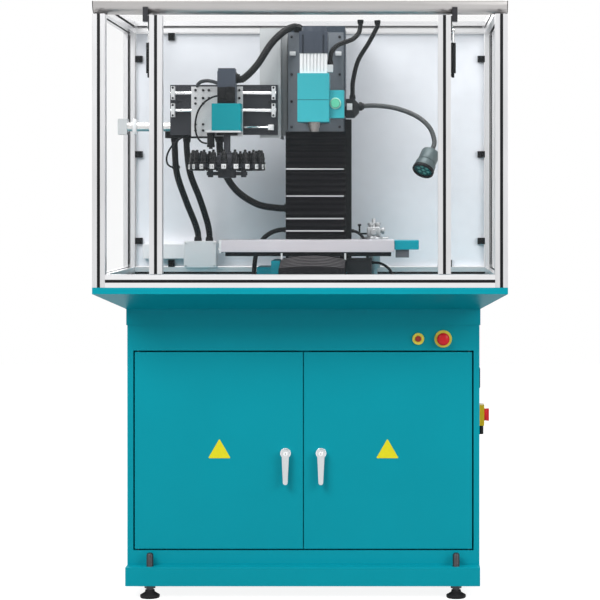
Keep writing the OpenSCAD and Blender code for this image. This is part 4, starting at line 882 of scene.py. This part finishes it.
index_cylinder = turned("index_cylinder", (
    (0, 0), (0.013, 0), (0.013, 0.006), (0.012, 0.007), (0.012, 0.038), (0.013, 0.039),
    (0.013, 0.046), (0.006, 0.047), (0.006, 0.052), (0, 0.052)),
    (-0.306, -0.056, 1.4904), down, sides=28)
joined("index_cylinder", [index_cylinder], strip_black, "carriage")
gland = turned("gland", (
    (0, 0), (0.0165, 0), (0.0165, 0.006), (0.0145, 0.008), (0.0145, 0.012), (0, 0.012)),
    (-0.2236, -0.056, 1.668), (1, 0, 0))
joined("motor_conduit_gland", [gland], strip_black, "carriage")

# Carousel: a black disc with twenty open forks on an indexing hub, and a cross bar with two knobs below.
# Each fork holds a turned black tool holder behind a white tag with its number printed in black.
holder_black = finish("holder_black", (0.008, 0.008, 0.009), 0.35, grain=220, depth=0.06, shine=0.2)
tag_white = finish("tag_white", (0.82, 0.82, 0.82), 0.4, grain=160)
carousel_place = Vector((-0.253, -0.056, 1.378))
pocket_r = 0.112
pockets = 20
disc = turned("disc", (
    (0, -0.034), (0.028, -0.034), (0.03, -0.032), (0.03, 0), (0.096, 0), (0.096, 0.008),
    (0.038, 0.008), (0.038, 0.032), (0.03, 0.04), (0.024, 0.041), (0.024, 0.048), (0.011, 0.049),
    (0.011, 0.118), (0, 0.118)), carousel_place, up, sides=60)
cross_bar = plain_box("cross_bar", carousel_place + Vector((-0.066, -0.008, -0.026)),
                      carousel_place + Vector((0.066, 0.008, -0.014)))
disc_pieces = [disc, cross_bar]
knob_outline = ((0, 0), (0.008, 0), (0.009, 0.001), (0.009, 0.023), (0.008, 0.024), (0, 0.024))
for knob_x in (-0.054, 0.054):
    knob_place = carousel_place + Vector((knob_x, 0, -0.032))
    disc_pieces.append(turned("knob", knob_outline, knob_place, up, sides=20))
holder_outline = (
    (0, -0.01), (0.011, -0.01), (0.012, -0.009), (0.012, -0.001), (0.01, 0), (0.01, 0.01),
    (0.013, 0.011), (0.013, 0.017), (0.0105, 0.018), (0.0105, 0.026), (0.0115, 0.027), (0.0115, 0.031),
    (0.0098, 0.032), (0.0085, 0.046), (0.0045, 0.049), (0.0045, 0.054), (0.003, 0.056), (0, 0.056))
holder_model = turned("holder_model", holder_outline, (0, 0, 0), up, sides=20)
fork_model = plain_box("fork_model", (-0.026, -0.011, 0), (0.0085, 0.011, 0.0098))
tag_model = plain_box("tag_model", (0.0129, -0.0075, -0.006), (0.0142, 0.0075, 0.009), edge=0.0004)
upright = Matrix.Rotation(math.radians(90), 4, "Z") @ Matrix.Rotation(math.radians(90), 4, "X")
on_tag = Matrix.Translation((0.0143, 0, 0.0015)) @ upright
holders = []
tags = []
figures = []
for number in range(pockets):
    turn = math.radians(number * 360 / pockets)
    place = (Matrix.Translation(carousel_place) @ Matrix.Rotation(turn, 4, "Z")
             @ Matrix.Translation((pocket_r, 0, 0)))
    for model, copies in ((holder_model, holders), (fork_model, disc_pieces), (tag_model, tags)):
        copies.append(copy_at(model, place))
    bpy.ops.object.select_all(action="DESELECT")
    bpy.ops.object.text_add()
    figure = bpy.context.object
    figure.data.body = str(number + 1)
    figure.data.size = 0.011
    figure.data.align_x = "CENTER"
    figure.data.align_y = "CENTER"
    figure.data.extrude = 0.0002
    bpy.ops.object.convert(target="MESH")
    figure.data.transform(place @ on_tag)
    figures.append(figure)
for model in (holder_model, fork_model, tag_model):
    bpy.data.objects.remove(model)
carousel_disc = joined("carousel_disc", disc_pieces, plate_black, "carousel")
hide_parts("carousel")
turned_holders = joined("turned_holders", holders, holder_black, "carousel")
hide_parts("tool_holders")
joined("number_tags", tags, tag_white, "carousel")
joined("tag_numbers", figures, strip_black, "carousel")

# Lamp: a black junction box with cut corners, a rubber-covered flexible arm, and a stepped metal head
# with a black rim and a dark glass over its diodes.
box_black = finish("box_black", (0.016, 0.017, 0.019), 0.45, grain=260, depth=0.1, shine=0.2)
lamp_grey = finish("lamp_grey", (0.075, 0.105, 0.11), 0.42, metal=0.3, grain=180, depth=0.08)
arm_black = finish("arm_black", (0.045, 0.05, 0.052), 0.5, grain=260, depth=0.1)
lens_green = finish("lens_green", (0.02, 0.11, 0.11), 0.12, depth=0.02, grain=40)
diode_green = finish("diode_green", (0.08, 0.35, 0.3), 0.2, grain=90)
case_right = 0.175
lamp_case = plain_box("lamp_case", (0.131, 0.044, 1.545), (case_right, 0.104, 1.607), edge=0)
bpy.ops.object.mode_set(mode="EDIT")
bpy.ops.mesh.select_all(action="DESELECT")
bpy.ops.object.mode_set(mode="OBJECT")
for edge_line in lamp_case.data.edges:
    a, b = (lamp_case.data.vertices[v].co for v in edge_line.vertices)
    on_right = min(a.x, b.x) > case_right - 0.00001
    edge_line.select = on_right and abs(a.y - b.y) > 0.01
bpy.ops.object.mode_set(mode="EDIT")
bpy.ops.mesh.bevel(offset=0.016, segments=1)
bpy.ops.object.mode_set(mode="OBJECT")
round_edges(lamp_case, 0.0016, 2)
bpy.ops.object.shade_smooth_by_angle(angle=smooth_angle)
lamp_foot = plain_box("lamp_foot", (0.126, 0.1, 1.553), (0.151, 0.17, 1.585))
arm_nut = turned("arm_nut", (
    (0, 0), (0.0145, 0), (0.0145, 0.009), (0.011, 0.012), (0.011, 0.016), (0, 0.016)),
    (0.1748, 0.074, 1.583), (1, 0, 0.05), sides=24)
lamp_case = joined("lamp_case", [lamp_case, lamp_foot, arm_nut], box_black)
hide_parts("lamp")
bare_tab = plain_box("bare_tab", (0.135, 0.0435, 1.57), (0.153, 0.0442, 1.592), edge=0.0003)
joined("lamp_bare_tab", [bare_tab], tag_white, "root")
arm_route, _ = even_route(smooth_route([
    (175, 74, 1583), (230, 74, 1586), (300, 66, 1576), (365, 50, 1550),
    (408, 30, 1512), (424, 14, 1466), (416, 0, 1436)]), 0.0016)
arm_wave = (0.0074, 0.008, 0.008)
lamp_arm = tube_mesh("lamp_arm", arm_route, [arm_wave[i % 3] for i in range(len(arm_route))], 16)
joined("lamp_arm", [lamp_arm], arm_black, "root")
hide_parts("lamp")
lean = Matrix.Rotation(math.radians(24), 4, "Y") @ Matrix.Rotation(math.radians(-32), 4, "X")
head_down = (lean @ Vector((0, 0, -1))).normalized()
head_top = Vector((0.416, 0, 1.436))
lamp_head = turned("lamp_head", (
    (0, 0), (0.009, 0), (0.012, 0.004), (0.022, 0.006), (0.029, 0.011), (0.031, 0.016),
    (0.031, 0.054), (0.0295, 0.055), (0.0295, 0.058), (0.034, 0.06), (0.0345, 0.082), (0, 0.082)),
    head_top, head_down, sides=48)
lamp_head = joined("lamp_head", [lamp_head], lamp_grey, "root")
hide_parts("lamp")
lamp_rim = turned("lamp_rim", (
    (0.0345, 0.08), (0.036, 0.081), (0.036, 0.09), (0.0345, 0.092), (0.0315, 0.092), (0.0315, 0.08),
    (0.0345, 0.08)), head_top, head_down, sides=48)
joined("lamp_rim", [lamp_rim], strip_black, "root")
lamp_glass = turned("lamp_glass", (
    (0, 0.0855), (0.02, 0.0852), (0.0316, 0.084), (0.0316, 0.0815), (0, 0.0815)),
    head_top, head_down, sides=48)
joined("lamp_glass", [lamp_glass], lens_green, "root")
diode_outline = ((0.006, 0), (0.0055, 0.0012), (0.003, 0.0024), (0, 0.0028))
diodes = []
for n in range(7):
    ring_turn = 2 * math.pi * n / 6
    ring_r = 0.017 if n < 6 else 0.0
    offset = Vector((ring_r * math.cos(ring_turn), ring_r * math.sin(ring_turn), 0))
    place = head_top + head_down * 0.0845 + (lean @ offset)
    diodes.append(turned("diode", diode_outline, place, head_down, sides=16))
joined("lamp_diodes", diodes, diode_green, "root")

# Air unit and cable box: a cast filter with a valve head on the tray, and a pale sheet box on the back
# panel. Black glands and collars hold the ends of the conduits and leads.
filter_grey = finish("filter_grey", (0.42, 0.43, 0.44), 0.4, metal=0.5, grain=160, depth=0.06)
dress("air_unit", filter_grey, edge=0.001)
dress("cable_box", cover_white, edge=0.0015)
wide_gland = ((0, 0), (0.0165, 0), (0.0165, 0.007), (0.0145, 0.009), (0.0145, 0.013), (0, 0.013))
small_gland = ((0, 0), (0.0132, 0), (0.0132, 0.008), (0.0122, 0.0095), (0.0122, 0.014), (0, 0.014))
hose_gland = tuple((r * 0.78, h) for r, h in small_gland)
glands = [turned("gland", outline, place, towards, sides=24) for outline, place, towards in (
    (small_gland, (-0.384, 0.296, 1.131), up), (small_gland, (-0.345, 0.3, 1.131), up),
    (small_gland, (-0.44, 0.09, 1.4781), down), (small_gland, (-0.4, 0.09, 1.4781), down),
    (wide_gland, (-0.29, 0.092, 1.4781), down), (wide_gland, (-0.066, 0.17, 1.245), (-1, 0, 0)),
    (wide_gland, (-0.03, 0.13, 1.846), forward), (hose_gland, (0.153, 0.074, 1.607), up),
    (hose_gland, (0.236, 0.06, 1.868), down), (hose_gland, (0.18, 0.04, 1.868), down))]
joined("conduit_glands", glands, strip_black)
head_gland = turned("gland", hose_gland, (0.083, -0.051, 1.7127), up, sides=24)
joined("head_hose_gland", [head_gland], strip_black, "head")
collar_outline = ((0, 0), (0.62, 0), (0.62, 0.5), (0.56, 0.6), (0.56, 0.9), (0, 0.9))
collars = []
for place, towards, width in (
    ((-0.066, 0.16, 1.172), (-1, 0, 0), 0.016), ((-0.18, 0.15, 0.923), up, 0.016),
    ((0.148, 0.146, 1.168), (1, 0, 0), 0.01), ((0.202, 0.146, 0.923), up, 0.01),
    ((0.218, 0.0, 1.066), (1, 0, 0), 0.009), ((0.294, 0.0, 0.923), up, 0.009),
    ((-0.391, 0.06, 1.489), forward, 0.006),
):
    outline = [(r * width, h * width) for r, h in collar_outline]
    collars.append(turned("collar", outline, place, towards, sides=20))
conduit_tie = turned("conduit_tie", (
    (0.0112, -0.003), (0.0135, -0.003), (0.0135, 0.003), (0.0112, 0.003), (0.0112, -0.003)),
    (-0.4381, 0.109, 1.3815), (0.02, 0.32, -0.94), sides=28)
joined("lead_collars", collars + [conduit_tie], strip_black)
valve_head = [plain_box("valve", (0.199, 0.172, 1.148), (0.245, 0.208, 1.181), edge=0.004, segments=3)]
valve_knob = ((0, 0), (0.007, 0), (0.007, 0.004), (0.011, 0.005), (0.011, 0.012), (0.009, 0.014),
              (0, 0.014))
for place, towards in (((0.245, 0.19, 1.168), (1, 0, 0)), ((0.212, 0.19, 1.181), up),
                       ((0.235, 0.19, 1.181), up), ((0.222, 0.172, 1.163), forward)):
    valve_head.append(turned("valve_knob", valve_knob, place, towards, sides=24))
joined("valve_head", valve_head, filter_grey, "root")
valve_lever = [plain_box("lever", (0.173, 0.187, 1.155), (0.2, 0.193, 1.161), edge=0.001),
               plain_box("lever", (0.171, 0.187, 1.155), (0.177, 0.193, 1.186), edge=0.0015),
               plain_box("lever", (0.168, 0.184, 1.183), (0.18, 0.196, 1.191), edge=0.003)]
joined("valve_lever", valve_lever, strip_black)
box_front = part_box("cable_box")[0].y
box_places = [(x, box_front, z) for x in (-0.423, -0.326) for z in (1.047, 1.124)]
screws("box_screws", box_places, forward, 0.006, "root", zinc)

bpy.data.objects.remove(screw_model)
